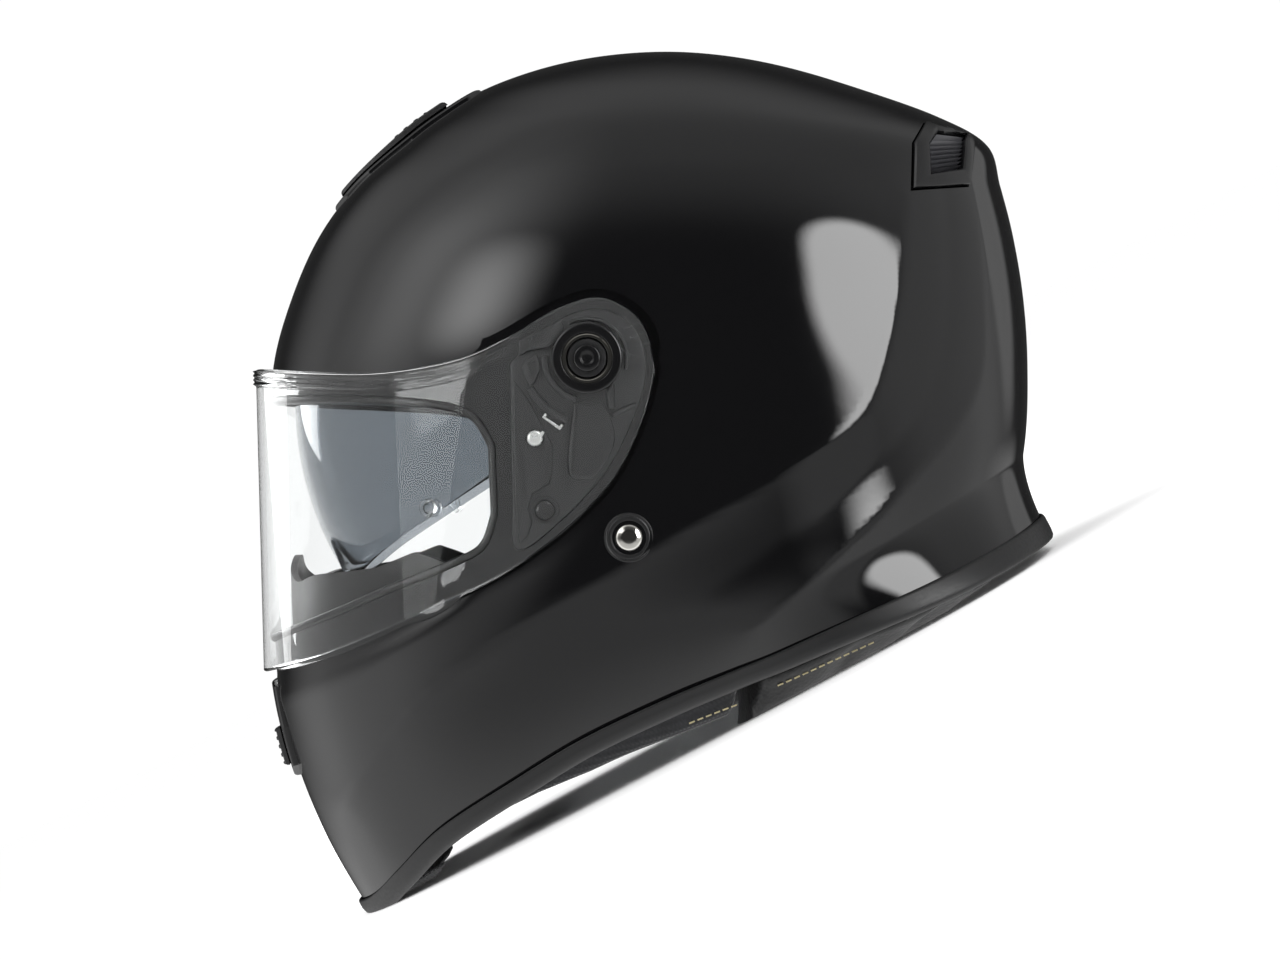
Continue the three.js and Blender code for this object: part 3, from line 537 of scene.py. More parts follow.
# %% Helpers for outlines
def curve(points, count):
    return between(ends(points), np.linspace(0, len(points) - 1, count + 1))


def grown(outline, margin):
    """A closed outline moved outwards."""
    p = np.array(outline, float)
    edge = np.roll(p, -1, axis=0) - p
    area = np.sum(p[:, 0] * np.roll(p[:, 1], -1) - np.roll(p[:, 0], -1) * p[:, 1])
    edge /= np.maximum(1e-9, np.linalg.norm(edge, axis=1, keepdims=True))
    normal = np.stack([edge[:, 1], -edge[:, 0]], axis=1) * np.sign(area)
    both = normal + np.roll(normal, 1, axis=0)
    length = np.maximum(0.6, np.linalg.norm(both, axis=1, keepdims=True))
    return p + both / length * 2 / np.maximum(1.2, length) * np.asarray(margin).reshape(-1, 1)


def inside(outline, ahead, up):
    p = np.array(outline, float)
    found = np.zeros(np.shape(ahead), bool)
    for (a0, u0), (a1, u1) in zip(p, np.roll(p, -1, axis=0)):
        crosses = (u0 > up) != (u1 > up)
        with np.errstate(divide="ignore", invalid="ignore"):
            found ^= crosses & (ahead < (a1 - a0) * (up - u0) / (u1 - u0) + a0)
    return found


def distance_to(line, ahead, up):
    """Distance in the side view from points to an open line."""
    best = np.full(np.shape(ahead), 1e9)
    for (a0, u0), (a1, u1) in zip(line, line[1:]):
        da, du = a1 - a0, u1 - u0
        t = np.clip(((ahead - a0) * da + (up - u0) * du) / (da * da + du * du), 0, 1)
        best = np.minimum(best, np.hypot(ahead - a0 - t * da, up - u0 - t * du))
    return best


visor_side = np.vstack([curve(VISOR_TOP, 48), curve(VISOR_BOTTOM, 48)[-2::-1]])
port_side = np.vstack([curve(PORT_TOP, 24), curve(PORT_BOTTOM, 24)])
upper = visor_side[:, 1] > np.interp(visor_side[:, 0], [-25, 60], [2, -20])
pocket_side = grown(visor_side, np.where(upper, 4.0, 2.2))
print("outline points", len(visor_side), len(port_side))

# %% [markdown]
# ## Outer shell
# The shell is one skin, wrapped from the crown down to the base and back up on the inside. Its style lines
# are low ridges with a sharp top, where the lacquer's reflection breaks. A sill rises below the visor to
# meet the visor's edge. The pocket, the eye port, the vents and the slide's slot are then cut out of it.

# %% Style lines, as ahead and up
STYLE_LINES = [
    # (line, height, width)
    ([[-119, 60], [-118, 34], [-112, 5], [-100, -22], [-68, -44], [-38, -61], [-4, -82],
      [26, -101], [62, -128], [92, -168]], 2.2, 15.0),
    ([[-146, 70], [-150, 25], [-146, -12], [-118, -48], [-88, -78], [-62, -100]], 1.8, 13.0),
]
SILL_HEIGHT, VISOR_GAP = 2.6, 2.2


def style(p):
    """How proud of the plain skin the ridges and the sill below the visor stand."""
    x, ahead, up = p[..., 0], p[..., 1], p[..., 2]
    raised = np.zeros_like(x)
    on_side = ease((np.abs(x) - 28) / 40)
    for line, height, width in STYLE_LINES:
        fine = curve(line, 40)
        raised = np.maximum(raised, height * np.exp(-distance_to(fine, ahead, up) / width))
    low = curve_at(VISOR_BOTTOM, np.clip(ahead, -25, 131)) - VISOR_GAP - up
    faded = np.exp(-np.clip(low - 2, 0, 99) / 15)
    lower = ease(low / 10)
    beside = ease((np.abs(x) - 113 + 25 * lower) / (6 + 19 * lower))
    sill = beside * ease((low + 12) / 6) + (1 - beside) * ease((low - 1) / 12)
    return raised * on_side + SILL_HEIGHT * sill * ease((ahead + 18) / 50) * faded


BAND = 26.0  # the last rows follow the lower edge over this height


def drop(turn, share, inset):
    """A point by its share of the way from the crown down to the base."""
    low = base_row(turn, np.full_like(turn, BAND))
    row = np.where(share < 0.8, low * share / 0.8,
                   base_row(turn, BAND * np.clip(1 - share, 0, 0.2) / 0.2))
    return skin(row, turn, inset)


COLUMNS, OUTER_ROWS, INNER_ROWS = 320, 176, 40
WALL = 3.8


def shell_place(u, v):
    turn = 2 * np.pi * u
    row = np.rint(v * (OUTER_ROWS + INNER_ROWS))
    outer = row <= OUTER_ROWS
    share = np.where(outer, row / OUTER_ROWS, 1 - (row - OUTER_ROWS - 1) / (INNER_ROWS - 1))
    plain, _ = drop(turn, share, np.zeros_like(turn))
    inset = np.where(outer, -style(plain), WALL)
    p, _ = drop(turn, share, inset)
    behind_pocket = inside(grown(pocket_side, 3.0), p[..., 1], p[..., 2])
    deep = ~outer & behind_pocket & (np.abs(p[..., 0]) > 100)
    inner_face = POCKET_FLOOR - POCKET_WALL
    p[..., 0] = np.where(deep, np.clip(p[..., 0], -inner_face, inner_face), p[..., 0])
    return placed(p)


shell = wrap("shell_skin", COLUMNS, OUTER_ROWS + INNER_ROWS, shell_place)
print("shell faces", len(shell.data.polygons))

# %% Cut the shell
RIVET = (-15.5, -66.4)
REAR_VENT = [[-128.7, 91.5], [-123.5, 83], [-122.4, 64.7], [-144.9, 67.4], [-148.2, 86.4]]
SLIDE_SLOT = [[-24, -90], [-24, -100], [-58, -100], [-58, -90]]


def joined(objects):
    only(*objects)
    bpy.ops.object.join()
    return bpy.context.object


def disc(name, radius, x0, x1, ahead, up, facets=48):
    return turned(name, [(0, x0), (radius, x0), (radius, x1), (0, x1)], ahead, up, facets)


cutters = [prism("port", port_side, -150, 150, bevel=0)]
for side in (1, -1):
    cutters += [
        prism("pocket", pocket_side, side * POCKET_FLOOR, side * 150, bevel=0),
        prism("vent", grown(REAR_VENT, 0.5), side * 22, side * 150, bevel=0),
    ]
cut(shell, cutters[0])
cut(shell, joined([cutters[1], cutters[3]]))
cut(shell, joined([cutters[2], cutters[4]]))
cut(shell, prism("slot", SLIDE_SLOT, -150, -60, bevel=0))
smooth(shell, 28)
finish(shell, lacquer, replaces=["outer_shell"])
print("shell cut, faces", len(shell.data.polygons))

# %% [markdown]
# ## Edge trim
# A rubber extrusion is pushed over the shell's raw lower edge all the way round. Its section is
# a round bead with a slot, so a ring of section points is carried round the base line.


# %% Edge trim
bead = rounded([(-0.6, -0.7), (-0.7, 2.2), (-2.0, 2.0), (-2.2, -1.5), (-1.2, -4.9), (WALL / 2, -6.6),
                (WALL + 1.2, -4.9), (WALL + 2.2, -1.5), (WALL + 2, 2.0), (WALL + 0.7, 2.2),
                (WALL + 0.6, -0.7), (-0.6, -0.7)], 1.4)
bead_points = np.array(bead)


def trim_place(u, v):
    i = np.rint(v * (len(bead) - 1)).astype(int)
    return on_table(skirt_point(2 * np.pi * u, bead_points[i, 0], bead_points[i, 1]))


trim = wrap("edge_trim_rubber", 288, len(bead) - 1, trim_place, 50)
print("edge trim, a section of", len(bead), "points")
finish(trim, rubber, replaces=["edge_trim"])

# %% [markdown]
# ## Clear visor
# A visor is a 2.2 mm sheet, bent in one direction only. It has a ribbed band along its brow, a
# step where the thicker arms begin, and polished round edges that catch the light.


# %% Visor
def visor_point(turn, up, inset):
    """A point of the visor's outside, moved in; past a quarter turn the sheet runs straight back."""
    half = 126.6 - inset
    nose = 131.5 + 0.027 * up - inset
    beyond = np.abs(turn) - np.pi / 2
    power = 2 / 2.3
    c, s = np.clip(np.cos(turn), 0, 1), np.sin(turn)
    x = half * np.sign(turn) * np.where(beyond > 0, 1, np.abs(s) ** power)
    ahead = np.where(beyond > 0, -beyond * half, nose * c ** power)
    return np.stack([x, ahead, np.broadcast_to(up, x.shape)], axis=-1)


VISOR_WALL, VISOR_COLUMNS = 2.2, 340
BROW_BAND, RIB_PITCH = 5.2, 1.7
END_TURN = math.pi / 2 + 25.2 / 126.6
FACE = np.concatenate([np.linspace(0, 0.085, 22), np.linspace(0.085, 0.97, 26)[1:],
                       np.linspace(0.97, 1, 5)[1:]])
EDGE = np.linspace(0, math.pi, 7)[1:-1]


def visor_sheet(u, v):
    t = np.abs(2 * u - 1)
    turn = np.sign(2 * u - 1) * END_TURN * (1 - (1 - t) ** 2)
    flat = visor_point(turn, np.zeros_like(turn), 0)
    ahead = np.clip(flat[..., 1], -25.19, 131.4)
    top, bottom = curve_at(VISOR_TOP, ahead), curve_at(VISOR_BOTTOM, ahead)
    tall = top - bottom
    count = 2 * len(FACE) + 2 * len(EDGE)
    k = np.rint(v * count).astype(int) % count
    shares = np.concatenate([FACE, np.ones(len(EDGE)), FACE[::-1], np.zeros(len(EDGE))])
    insets = np.concatenate([0 * FACE, VISOR_WALL / 2 * (1 - np.cos(EDGE)), 0 * FACE + VISOR_WALL,
                             VISOR_WALL / 2 * (1 + np.cos(EDGE))])
    bulge = np.concatenate([0 * FACE, -np.sin(EDGE), 0 * FACE, np.sin(EDGE)])
    up = top - shares[k] * tall + 0.7 * bulge[k] * np.clip(tall / 6, 0, 1)
    from_top = shares[k] * tall
    band = np.clip(1 - (from_top - BROW_BAND) / 0.8, 0, 1) * np.clip(tall / 30, 0, 1)
    band = band * ease((ahead - 18) / 22)
    ribs = 0.9 + 0.35 * np.cos(2 * np.pi * from_top / RIB_PITCH)
    outer = k < len(FACE)
    arm_edge = 35.3 - 4.7 * ease((-24.6 - up) / 8)
    step = 0.3 * np.clip((arm_edge - ahead) / 0.8, 0, 1)
    bead_on_step = 0.25 * np.exp(-((ahead - arm_edge) / 0.8) ** 2)
    arm = (step + bead_on_step) * np.clip(tall / 8, 0, 1)
    inset = insets[k] - np.where(outer, band * ribs + arm, 0)
    return placed(visor_point(turn, up, inset))


visor = wrap("visor_sheet", VISOR_COLUMNS, 2 * len(FACE) + 2 * len(EDGE), visor_sheet, 60)
bores = [disc("bore", 9.7, side * 110, side * 140, 0, 0) for side in (1, -1)]
cut(visor, *bores)
smooth(visor, 60)
finish(visor, clear, "visor", ["visor"])
print("visor faces", len(visor.data.polygons))

# %% [markdown]
# ## Places on the skin
# A fitting that sits on the shell is drawn as a flat grid and laid on the skin: from the front
# by x and up, or from the side by ahead and up.


# %% Places on the skin
def row_at(up):
    """The row of the sections at a height."""
    q = np.interp(-up, -SECTIONS[:, 0], np.arange(len(SECTIONS)))
    for _ in range(6):
        row = between(PADDED, q)
        slope = (between(PADDED, q + 0.01)[..., 0] - row[..., 0]) / 0.01
        q = np.clip(q + (up - row[..., 0]) / np.minimum(slope, -1), 0, len(SECTIONS) - 1.001)
    return q


def front_skin(x, up, inset):
    q = row_at(up)
    row = between(PADDED, q)
    share = np.clip(np.abs(x) / row[..., 3], 0, 1)
    return skin(q, np.sign(x) * np.arcsin(share ** (row[..., 5] / 2)), inset)


def side_skin(ahead, up, inset):
    q = row_at(up)
    _, front, rear, _, widest, n_front, n_rear = np.moveaxis(between(PADDED, q), -1, 0)
    forward = ahead > widest
    share = np.clip(np.abs(ahead - widest) / np.where(forward, front - widest, widest - rear), 0, 1)
    c = share ** (np.where(forward, n_front, n_rear) / 2)
    return skin(q, np.arccos(np.where(forward, c, -c)), inset)


def closed(profile, v):
    """The index of a closed profile's point for a grid coordinate."""
    return np.rint(v * len(profile)).astype(int) % len(profile)


def turned_on(name, profile, centre, direction, facets=48, degrees=35):
    """A turned piece on any axis of the wearer's frame."""
    profile = np.array(profile, float)
    axis = np.array(direction, float) / np.linalg.norm(direction)
    across = np.cross(axis, [0.0, 0.0, 1.0])
    across /= np.linalg.norm(across)
    third = np.cross(axis, across)

    def place(u, v):
        i = np.rint(v * (len(profile) - 1)).astype(int)
        r, along = profile[i, 0][:, None], profile[i, 1][:, None]
        angle = (2 * np.pi * u)[:, None]
        return placed(np.array(centre) + along * axis
                      + r * (np.cos(angle) * across + np.sin(angle) * third))

    return wrap(name, facets, len(profile) - 1, place, degrees)


def arc_band(radius, width, start, end, centre=(0, 0), count=20):
    """The outline of a curved rib; angles are in degrees up from straight ahead."""
    angles = np.radians(np.linspace(start, end, count))
    rims = [(radius + width / 2, angles), (radius - width / 2, angles[::-1])]
    return [(centre[0] + r * math.cos(a), centre[1] + r * math.sin(a)) for r, rim in rims for a in rim]


def turn_for(line):
    """The turn at which the section through a side-view point passes it."""
    q = row_at(line[:, 1])
    row = between(PADDED, q)
    share = np.clip((line[:, 0] - row[:, 4]) / (row[:, 1] - row[:, 4]), 0, 1)
    return q, np.arccos(share ** (row[:, 5] / 2))


# %% Gasket
GASKET = np.array(rounded([(0.3, 5.6), (0.3, -0.4), (-0.6, -1.6), (-2.6, -1.4), (-3.0, -0.2),
                           (-3.0, 5.6)], 0.8, 3))


def port_ring(count, top, bottom):
    """Points round the whole port: along the top from the nose, round the rear corner and back."""
    turns = np.linspace(0, 1.15, 60)
    over, under = [], []
    for line, found in ((top, over), (bottom, under)):
        ahead = np.full_like(turns, 120.0)
        for _ in range(8):
            up = np.interp(ahead, line[:, 0], line[:, 1])
            ahead = section(row_at(up), turns)[:, 1]
        found.extend(zip(ahead, up))
    rear = [p for p in port_side if p[0] < min(over[-1][0], under[-1][0])]
    side = np.array(over + rear + under[::-1])
    q, turn = turn_for(side)
    spots = section(q, turn)
    half = np.vstack([spots, (spots * [-1, 1, 1])[-2:0:-1]])
    length = np.concatenate([[0], np.cumsum(np.linalg.norm(np.diff(half, axis=0), axis=1))])
    along = np.linspace(0, length[-1], count)
    return np.stack([np.interp(along, length, half[:, k]) for k in range(3)], axis=-1)


fine_top, fine_bottom = curve(PORT_TOP, 40)[::-1], curve(PORT_BOTTOM, 40)
RING = port_ring(360, fine_top, fine_bottom)
q, turn = turn_for(RING[:, 1:])
turn = turn * np.sign(RING[:, 0])
_, OUT = skin(q, turn, np.zeros(len(q)))
ALONG = np.roll(RING, -1, axis=0) - np.roll(RING, 1, axis=0)
ALONG /= np.linalg.norm(ALONG, axis=1, keepdims=True)
ASIDE = np.cross(OUT * [1, -1, 1], ALONG * [1, -1, 1]) * [1, -1, 1]
ASIDE *= np.sign(np.sum(ASIDE * (RING - [0, 70, -60]), axis=1, keepdims=True))
too_far_out = np.clip(np.abs(RING[:, 0]) - (POCKET_FLOOR - 1), 0, None)
RING[:, 0] -= np.sign(RING[:, 0]) * too_far_out


def gasket_place(u, v):
    i = np.rint(u * len(RING)).astype(int) % len(RING)
    k = closed(GASKET, v)
    across, inset = GASKET[k, 0][:, None], GASKET[k, 1][:, None]
    return placed(RING[i] + ASIDE[i] * across - OUT[i] * inset)


gasket = wrap("eyeport_seal", len(RING), len(GASKET), gasket_place, 50)
print("gasket, mm round the port", round(sum(np.linalg.norm(np.diff(RING, axis=0), axis=1))))
finish(gasket, rubber, replaces=["eyeport_gasket"])

# %% [markdown]
# ## Sun visor
# The smoked visor is part of a solid of revolution about its own hinge, so that it can swing up
# inside the shell without changing its clearance.

# %% Sun visor
SUN_AXIS, SUN_HALF, SUN_RADIUS, SUN_WALL = (-6.9, -15.5), 108, 123, 2
SUN_FROM, SUN_TO, SUN_COLUMNS = -33.0, 13.0, 150  # degrees about the axis, and grid columns
SUN_END_TURN = math.pi / 2 * 0.985
SUN_FACE = np.linspace(0, 1, 20)
SUN_EDGE = np.linspace(0, math.pi, 6)[1:-1]


def sun_place(u, v):
    t = 2 * u - 1
    turn = t * SUN_END_TURN
    k = closed(np.zeros(2 * len(SUN_FACE) + 2 * len(SUN_EDGE)), v)
    share = np.concatenate([SUN_FACE, np.ones(len(SUN_EDGE)), SUN_FACE[::-1],
                            np.zeros(len(SUN_EDGE))])[k]
    inset = np.concatenate([0 * SUN_FACE, 1 - np.cos(SUN_EDGE), 0 * SUN_FACE + 2,
                            1 + np.cos(SUN_EDGE)])[k] * SUN_WALL / 2
    bulge = np.concatenate([0 * SUN_FACE, np.sin(SUN_EDGE), 0 * SUN_FACE, -np.sin(SUN_EDGE)])[k]
    power = 2 / 2.4
    x = (SUN_HALF - inset) * np.sign(turn) * np.abs(np.sin(turn)) ** power
    rho = (SUN_RADIUS - inset) * np.cos(turn) ** power
    nose = 5.5 * np.exp(-(x / 17) ** 2)
    cheek_drop = 1.2 * np.exp(-((np.abs(x) - 44) / 22) ** 2)
    low = SUN_FROM - cheek_drop + nose
    angle = np.radians(SUN_TO + (low - SUN_TO) * share)
    angle = angle - np.radians(0.35) * bulge * np.clip(rho / 40, 0, 1)
    return stand(x, SUN_AXIS[0] + rho * np.cos(angle), SUN_AXIS[1] + rho * np.sin(angle))


sun = wrap("sun_visor_lens", SUN_COLUMNS, 2 * len(SUN_FACE) + 2 * len(SUN_EDGE), sun_place, 50)
finish(sun, smoke, "sun_visor", ["sun_visor"])
ear = turned("sun_visor_ear_left", rounded([(3.4, 103.9), (8, 103.9), (8, 107.9), (3.4, 107.9),
                                            (3.4, 103.9)], 0.5), *SUN_AXIS)
finish_pair(ear, smoke, "sun_visor")
print("sun visor done")

# %% [markdown]
# ## The mechanism at the hinge
# Under each clear arm lies a nylon base plate with the ribs, covers and guides that steer the
# visor's ratchet, a quick-release lever, two screws and the turning hub. Each rib is a small
# extruded outline, bevelled like the mould's own edges.

# %% Base plate
BASE_PLATE = [[28.5, -2], [12, 13.5], [-5, 18.5], [-17.5, 11], [-21.8, -4], [-17.5, -21.5],
              [-7, -42], [9.5, -60], [26, -71], [27.5, -50], [28.5, -2]]
SCREWS = {"lower": (15.6, -56.3), "upper": (19.3, -29.6)}
RELEASE_LEVER = [[4.8, -17], [6.8, -41.4], [0.8, -44.6], [-4.4, -42.6], [-10.3, -29.4], [-5, -16.5]]
PLATE_BACK, PLATE_FACE = 118.4, 121.4
ROOT = PLATE_FACE - 0.1  # ribs start just inside the plate, so that they join it


def holed(obj, holes, x0=100, x1=140):
    return cut(obj, *[disc("bore", radius, x0, x1, ahead, up, 32) for radius, ahead, up in holes])


plate = prism("pivot_plate_left", curve(BASE_PLATE, 72)[:-1], PLATE_BACK, PLATE_FACE, 0.5)
holed(plate, [(2, *place) for place in SCREWS.values()])
cover = prism("cover", [(25.1, 6.6), (9.5, 14.0), (8.4, 10.6), (11.4, 6.6), (13.6, 4.1),
                        (22.3, 2.8), (23.9, 1.5), (25.1, 1.5)], ROOT, 123.5, 0.35)
cut(cover, prism("notch", [(20.6, 8.2), (17.2, 9.8), (17.2, 6), (20.6, 6)], 122.6, 130, bevel=0))
link = prism("link", [(24.2, -2.9), (22.9, -0.7), (19.1, 1.6), (17.8, -0.4), (17.4, -4.2),
                      (19.4, -8.8), (21.2, -10.4), (23.5, -6)], ROOT, 123.1, 0.35)
cut(link, prism("window", [(21.8, -1.6), (19.4, -0.8), (19, -4.4), (20.6, -6.4)], 121.9, 130, bevel=0))
ledge = prism("ledge", [(27.2, -8), (22.5, -14), (15.6, -26.5), (12.7, -32.3), (13, -42.5),
                        (14, -46.6), (20.3, -50.1), (21.9, -55.9), (20.3, -61), (22, -66),
                        (25.2, -68.6), (26.6, -50)], ROOT, 122.1, 0.35)
holed(ledge, [(3.8, *SCREWS["upper"])])
ribs = [
    prism("arc", arc_band(23.8, 2.8, -72, -27), ROOT, 123.3, 0.3),
    prism("arc", arc_band(15.6, 2.4, -76, 4), ROOT, 122.6, 0.3),
    prism("arc", arc_band(14.8, 1.4, 62, 196), ROOT, 122.9, 0.3),
    prism("rib", [(-7.1, -10.8), (-10, -9.4), (-10.4, -18.4), (-8, -18.9)], ROOT, 123.2, 0.3),
    prism("arm", [(-8.6, -20.4), (-18, -16.2), (-18.2, -17.6), (-9.8, -21.8)], ROOT, 122.8, 0.3),
]
BOSS = [(3.7, 119.6), (3.7, 127.3), (7.2, 127.3), (7.2, 121.3), (12, 121.3)]
COLLAR = [(4.1, 121.3), (4.1, 122.2), (5.3, 122.2), (5.3, 121.3)]
boss = turned("boss", rounded(BOSS, 0.4), 0, 0)
collar = turned("collar", rounded(COLLAR, 0.2), *SCREWS["lower"])
plate = joined([plate, cover, link, ledge, *ribs, boss, collar])
smooth(plate, 30)
finish_pair(plate, moulded, replaces="pivot_base")

# %% [markdown]
# ## Levers, clips and screws
# The small parts stand on the base plate: a wedge-shaped release lever on its pin, a bent spring
# clip, two pan-head screws and a little tab. Each is a bevelled outline or a turned profile with
# its recesses cut out.

# %% Release lever and its pin
wedge = curve(RELEASE_LEVER + RELEASE_LEVER[:1], 6 * 9)[:-1]
lever = prism("release_wedge_left", wedge, 121.9, 123.9, 0.3)
cut(lever, prism("dish", grown(RELEASE_LEVER, -1.1), 123.3, 130, bevel=0))
cut(lever, prism("recess", [(5.0, -34), (-6.3, -30.8), (-3.2, -41.2), (1, -43.1), (5.4, -40.6)],
                 122.7, 130, bevel=0))
cut(lever, disc("bore", 2, 121, 122.9, 0.5, -22))
smooth(lever, 30)
finish_pair(lever, moulded, "release_{}", "release_lever")
pin = disc("lever_pivot_left", 1.6, 121.9, 122.7, 0.5, -22)
finish_pair(pin, zinc, replaces="lever_pin")

# %% Spring clip and screws
CLIP = [(16.8, -21.8), (15.6, -20.2), (14.7, -20.8), (15.4, -21.8), (10.4, -25.2), (9.7, -24.2),
        (8.7, -24.8), (10, -26.8)]
clip = prism("spring_clip_left", CLIP, 121.9, 122.9, 0.15, 1)
finish_pair(clip, zinc, replaces="detent_spring")


HEAD_SEAT, HEAD_TOP, SHANK, SHANK_END = 121.6, 123.1, 1.6, 115.4


def screw(which, radius, material):
    """A pan-head screw with a hexagon socket."""
    profile = [(0, HEAD_TOP), (radius * 0.72, HEAD_TOP), (radius, HEAD_TOP - 0.6), (radius, HEAD_SEAT),
               (SHANK, HEAD_SEAT), (SHANK, SHANK_END), (0, SHANK_END)]
    body = turned(f"plate_screw_{which}_left", rounded(profile, 0.35), *SCREWS[which])
    cut(body, disc("socket", radius * 0.42, HEAD_TOP - 0.7, HEAD_TOP + 1, *SCREWS[which], 6))
    smooth(body, 35)
    return finish_pair(body, material, replaces=f"base_screw_{which}")


screw("lower", 3.6, satin)
screw("upper", 3.1, zinc)
TAB = [(17.9, -28.2), (16.6, -26.6), (15.7, -27.4), (16.6, -29.4), (17.2, -30.2)]
hook = prism("screw_tab_left", TAB, 122.1, 122.9, 0.15, 1)
finish_pair(hook, zinc)
print("base plate done")

# %% [markdown]
# ## Hubs and rivets
# The visor turns on a polished ring round a screwed cap, and the chin strap is riveted through
# the shell. All of these are turned parts, so each is a profile spun round the hinge's axis.

# %% Hub and cap
# The turning ring shows two bright edges with a dark groove between, broken by its two keys.
HUB = [(7.75, 122.6), (7.75, 127.6), (7.9, 127.9), (8.15, 127.9), (8.3, 127.2), (8.75, 127.2),
       (8.9, 127.9), (9.2, 127.9), (9.4, 127.6), (9.4, 122.6), (7.75, 122.6)]
hub = turned("hub_ring_left", HUB, 0, 0, 72, 25)
for degrees in (-55, 125):
    a = math.radians(degrees)
    corners = ((a - 0.07, 7), (a + 0.07, 7), (a + 0.07, 10.5), (a - 0.07, 10.5))
    key = [(math.cos(at) * r, math.sin(at) * r) for at, r in corners]
    cut(hub, prism("key", key, 127.1, 130, bevel=0))
smooth(hub, 25)
finish_pair(hub, polished, "visor", "visor_hub")
FLANGE = [(9.5, 126.8), (13.1, 126.8), (13.1, 127.6), (12.4, 128), (9.5, 128), (9.5, 126.8)]
SKIRT = [(9.5, 122.4), (12, 122.4), (12, 124), (9.5, 124), (9.5, 122.4)]
flange = turned("hub_flange_left", rounded(FLANGE, 0.3), 0, 0, 72)
lower = turned("skirt", rounded(SKIRT, 0.3), 0, 0, 72)
flange = joined([flange, lower])
flange.name = "hub_flange_left"
finish_pair(flange, satin, "visor")
CAP = [(0, 128.2), (1.2, 128.2), (2.2, 128.4), (2.4, 128.9), (3.4, 129), (4.7, 128.8), (5, 128.3),
       (5, 127.8), (3.3, 127.8), (3.3, 119.5), (0, 119.5)]
cap = turned("hinge_cap_left", rounded(CAP, 0.25), 0, 0)
finish_pair(cap, satin, replaces="pivot_cap")

# %% Anti-fog pins
PIN_TURN, PIN_UP = 1.158, -55.5
centre, behind, ahead_of = (visor_point(np.array(PIN_TURN + t), PIN_UP, 0.0) for t in (0, 0.02, -0.02))
sideways = np.abs(behind - ahead_of)
outward = (sideways[1], sideways[0], 0.0)
FOG_PIN = [(0, 2.1), (1.2, 2.1), (1.5, 1.5), (2, 1.5), (2.3, 2.2), (3.2, 2.1), (3.4, 1.5), (3.4, 0.7),
           (2.3, 0.7), (2.3, -2.9), (3.4, -2.9), (3.4, -4.4), (0, -4.4)]
fog_pin = turned_on("fog_pin_left", rounded(FOG_PIN, 0.25), centre, outward)
finish_pair(fog_pin, clear, "visor", "antifog_pin")

# %% Grip on the visor's edge
GRIP = (-19.0, 8.8)
grip_ribs = [prism("grip", arc_band(8, 0.6, -105, 55, GRIP), 126.5, 127.1, 0.15, 1)]
for k in range(3):
    ahead, up = GRIP[0] + 5.6 - 2.4 * k, GRIP[1] + 2.6 - 3.4 * k
    bar = [(ahead, up), (ahead - 5, up + 1.9), (ahead - 5.3, up + 1.1), (ahead - 0.3, up - 0.8)]
    grip_ribs.append(prism("grip", bar, 126.5, 127.2, 0.2, 1))
grip = joined(grip_ribs)
grip.name = "visor_grip_left"
finish_pair(grip, clear, "visor")

# %% Strap rivets
RIVET_HEAD = [(0, 127.1), (2.6, 126.95), (4.4, 126.3), (5.4, 125.2), (5.5, 124.4), (2.6, 124.4),
              (2.6, 113.6), (5, 113.6), (5, 112.5), (0, 112.5)]
rivet = turned("rivet_head_left", rounded(RIVET_HEAD, 0.5, 4), *RIVET, 64)
finish_pair(rivet, polished, replaces="strap_rivet")
RIVET_COLLAR = [(5.9, 122.6), (5.9, 125), (6.4, 125.9), (7.6, 126), (8.2, 125.6), (8.6, 126),
                (9.2, 125.8), (9.4, 125), (9.4, 122.6), (5.9, 122.6)]
ring = turned("rivet_collar_left", rounded(RIVET_COLLAR, 0.35, 3), *RIVET, 64)
finish_pair(ring, rubber, replaces="rivet_ring")
print("hubs and rivets done")

# %% [markdown]
# ## Vents
# Intakes at the chin and crown are low mouldings that follow the skin. Each is a grid whose border
# dips into the shell and whose middle stands proud, with the slide's finger ribs raised on it.


# %% Intakes
def tile(name, columns, rows, up_range, half_width, height, rim=1.6, sink=-0.7):
    """A moulding on the front of the skin. height(x, up) is how proud it stands."""
    top, bottom = up_range

    def place(u, v):
        up = top + (bottom - top) * v
        wide = half_width(up)
        x = (2 * u - 1) * wide
        border = np.minimum(wide - np.abs(x), np.minimum(top - up, up - bottom))
        round_edge = np.sqrt(np.clip(1 - (1 - np.clip(border / rim, 0, 1)) ** 2, 0, 1))
        proud = sink + (height(x, up) - sink) * round_edge
        return placed(front_skin(x, up, -proud)[0])

    return wrap(name, columns, rows, place, 30)


def ribs_on(up, pitch, tall):
    return tall * np.clip(np.cos(2 * np.pi * up / pitch) * 2, -0.3, 1)


def chin_height(x, up):
    mouth = ease((16.5 - np.abs(x)) / 1.5) * ease((up + 150) / 1.5) * ease((-137 - up) / 1.5)
    return 2.6 - 4.6 * mouth


def chin_slide_height(x, up):
    return 4.7 + ribs_on(up + 148.5, 3.2, 0.6) * ease(12 - np.abs(x))


chin_vent = tile("chin_intake", 96, 80, (-122.8, -160.8),
                 lambda up: np.interp(up, [-161, -156, -125, -122.5], [13, 25, 30, 20]), chin_height)
finish(chin_vent, lacquer, replaces=["chin_vent_housing"])
shutter = tile("chin_slide", 64, 72, (-141.2, -155.8),
               lambda up: np.interp(up, [-156, -141], [15, 19]), chin_slide_height, 1.2, 3.0)
finish(shutter, moulded, "chin_shutter", ["chin_vent_shutter"])



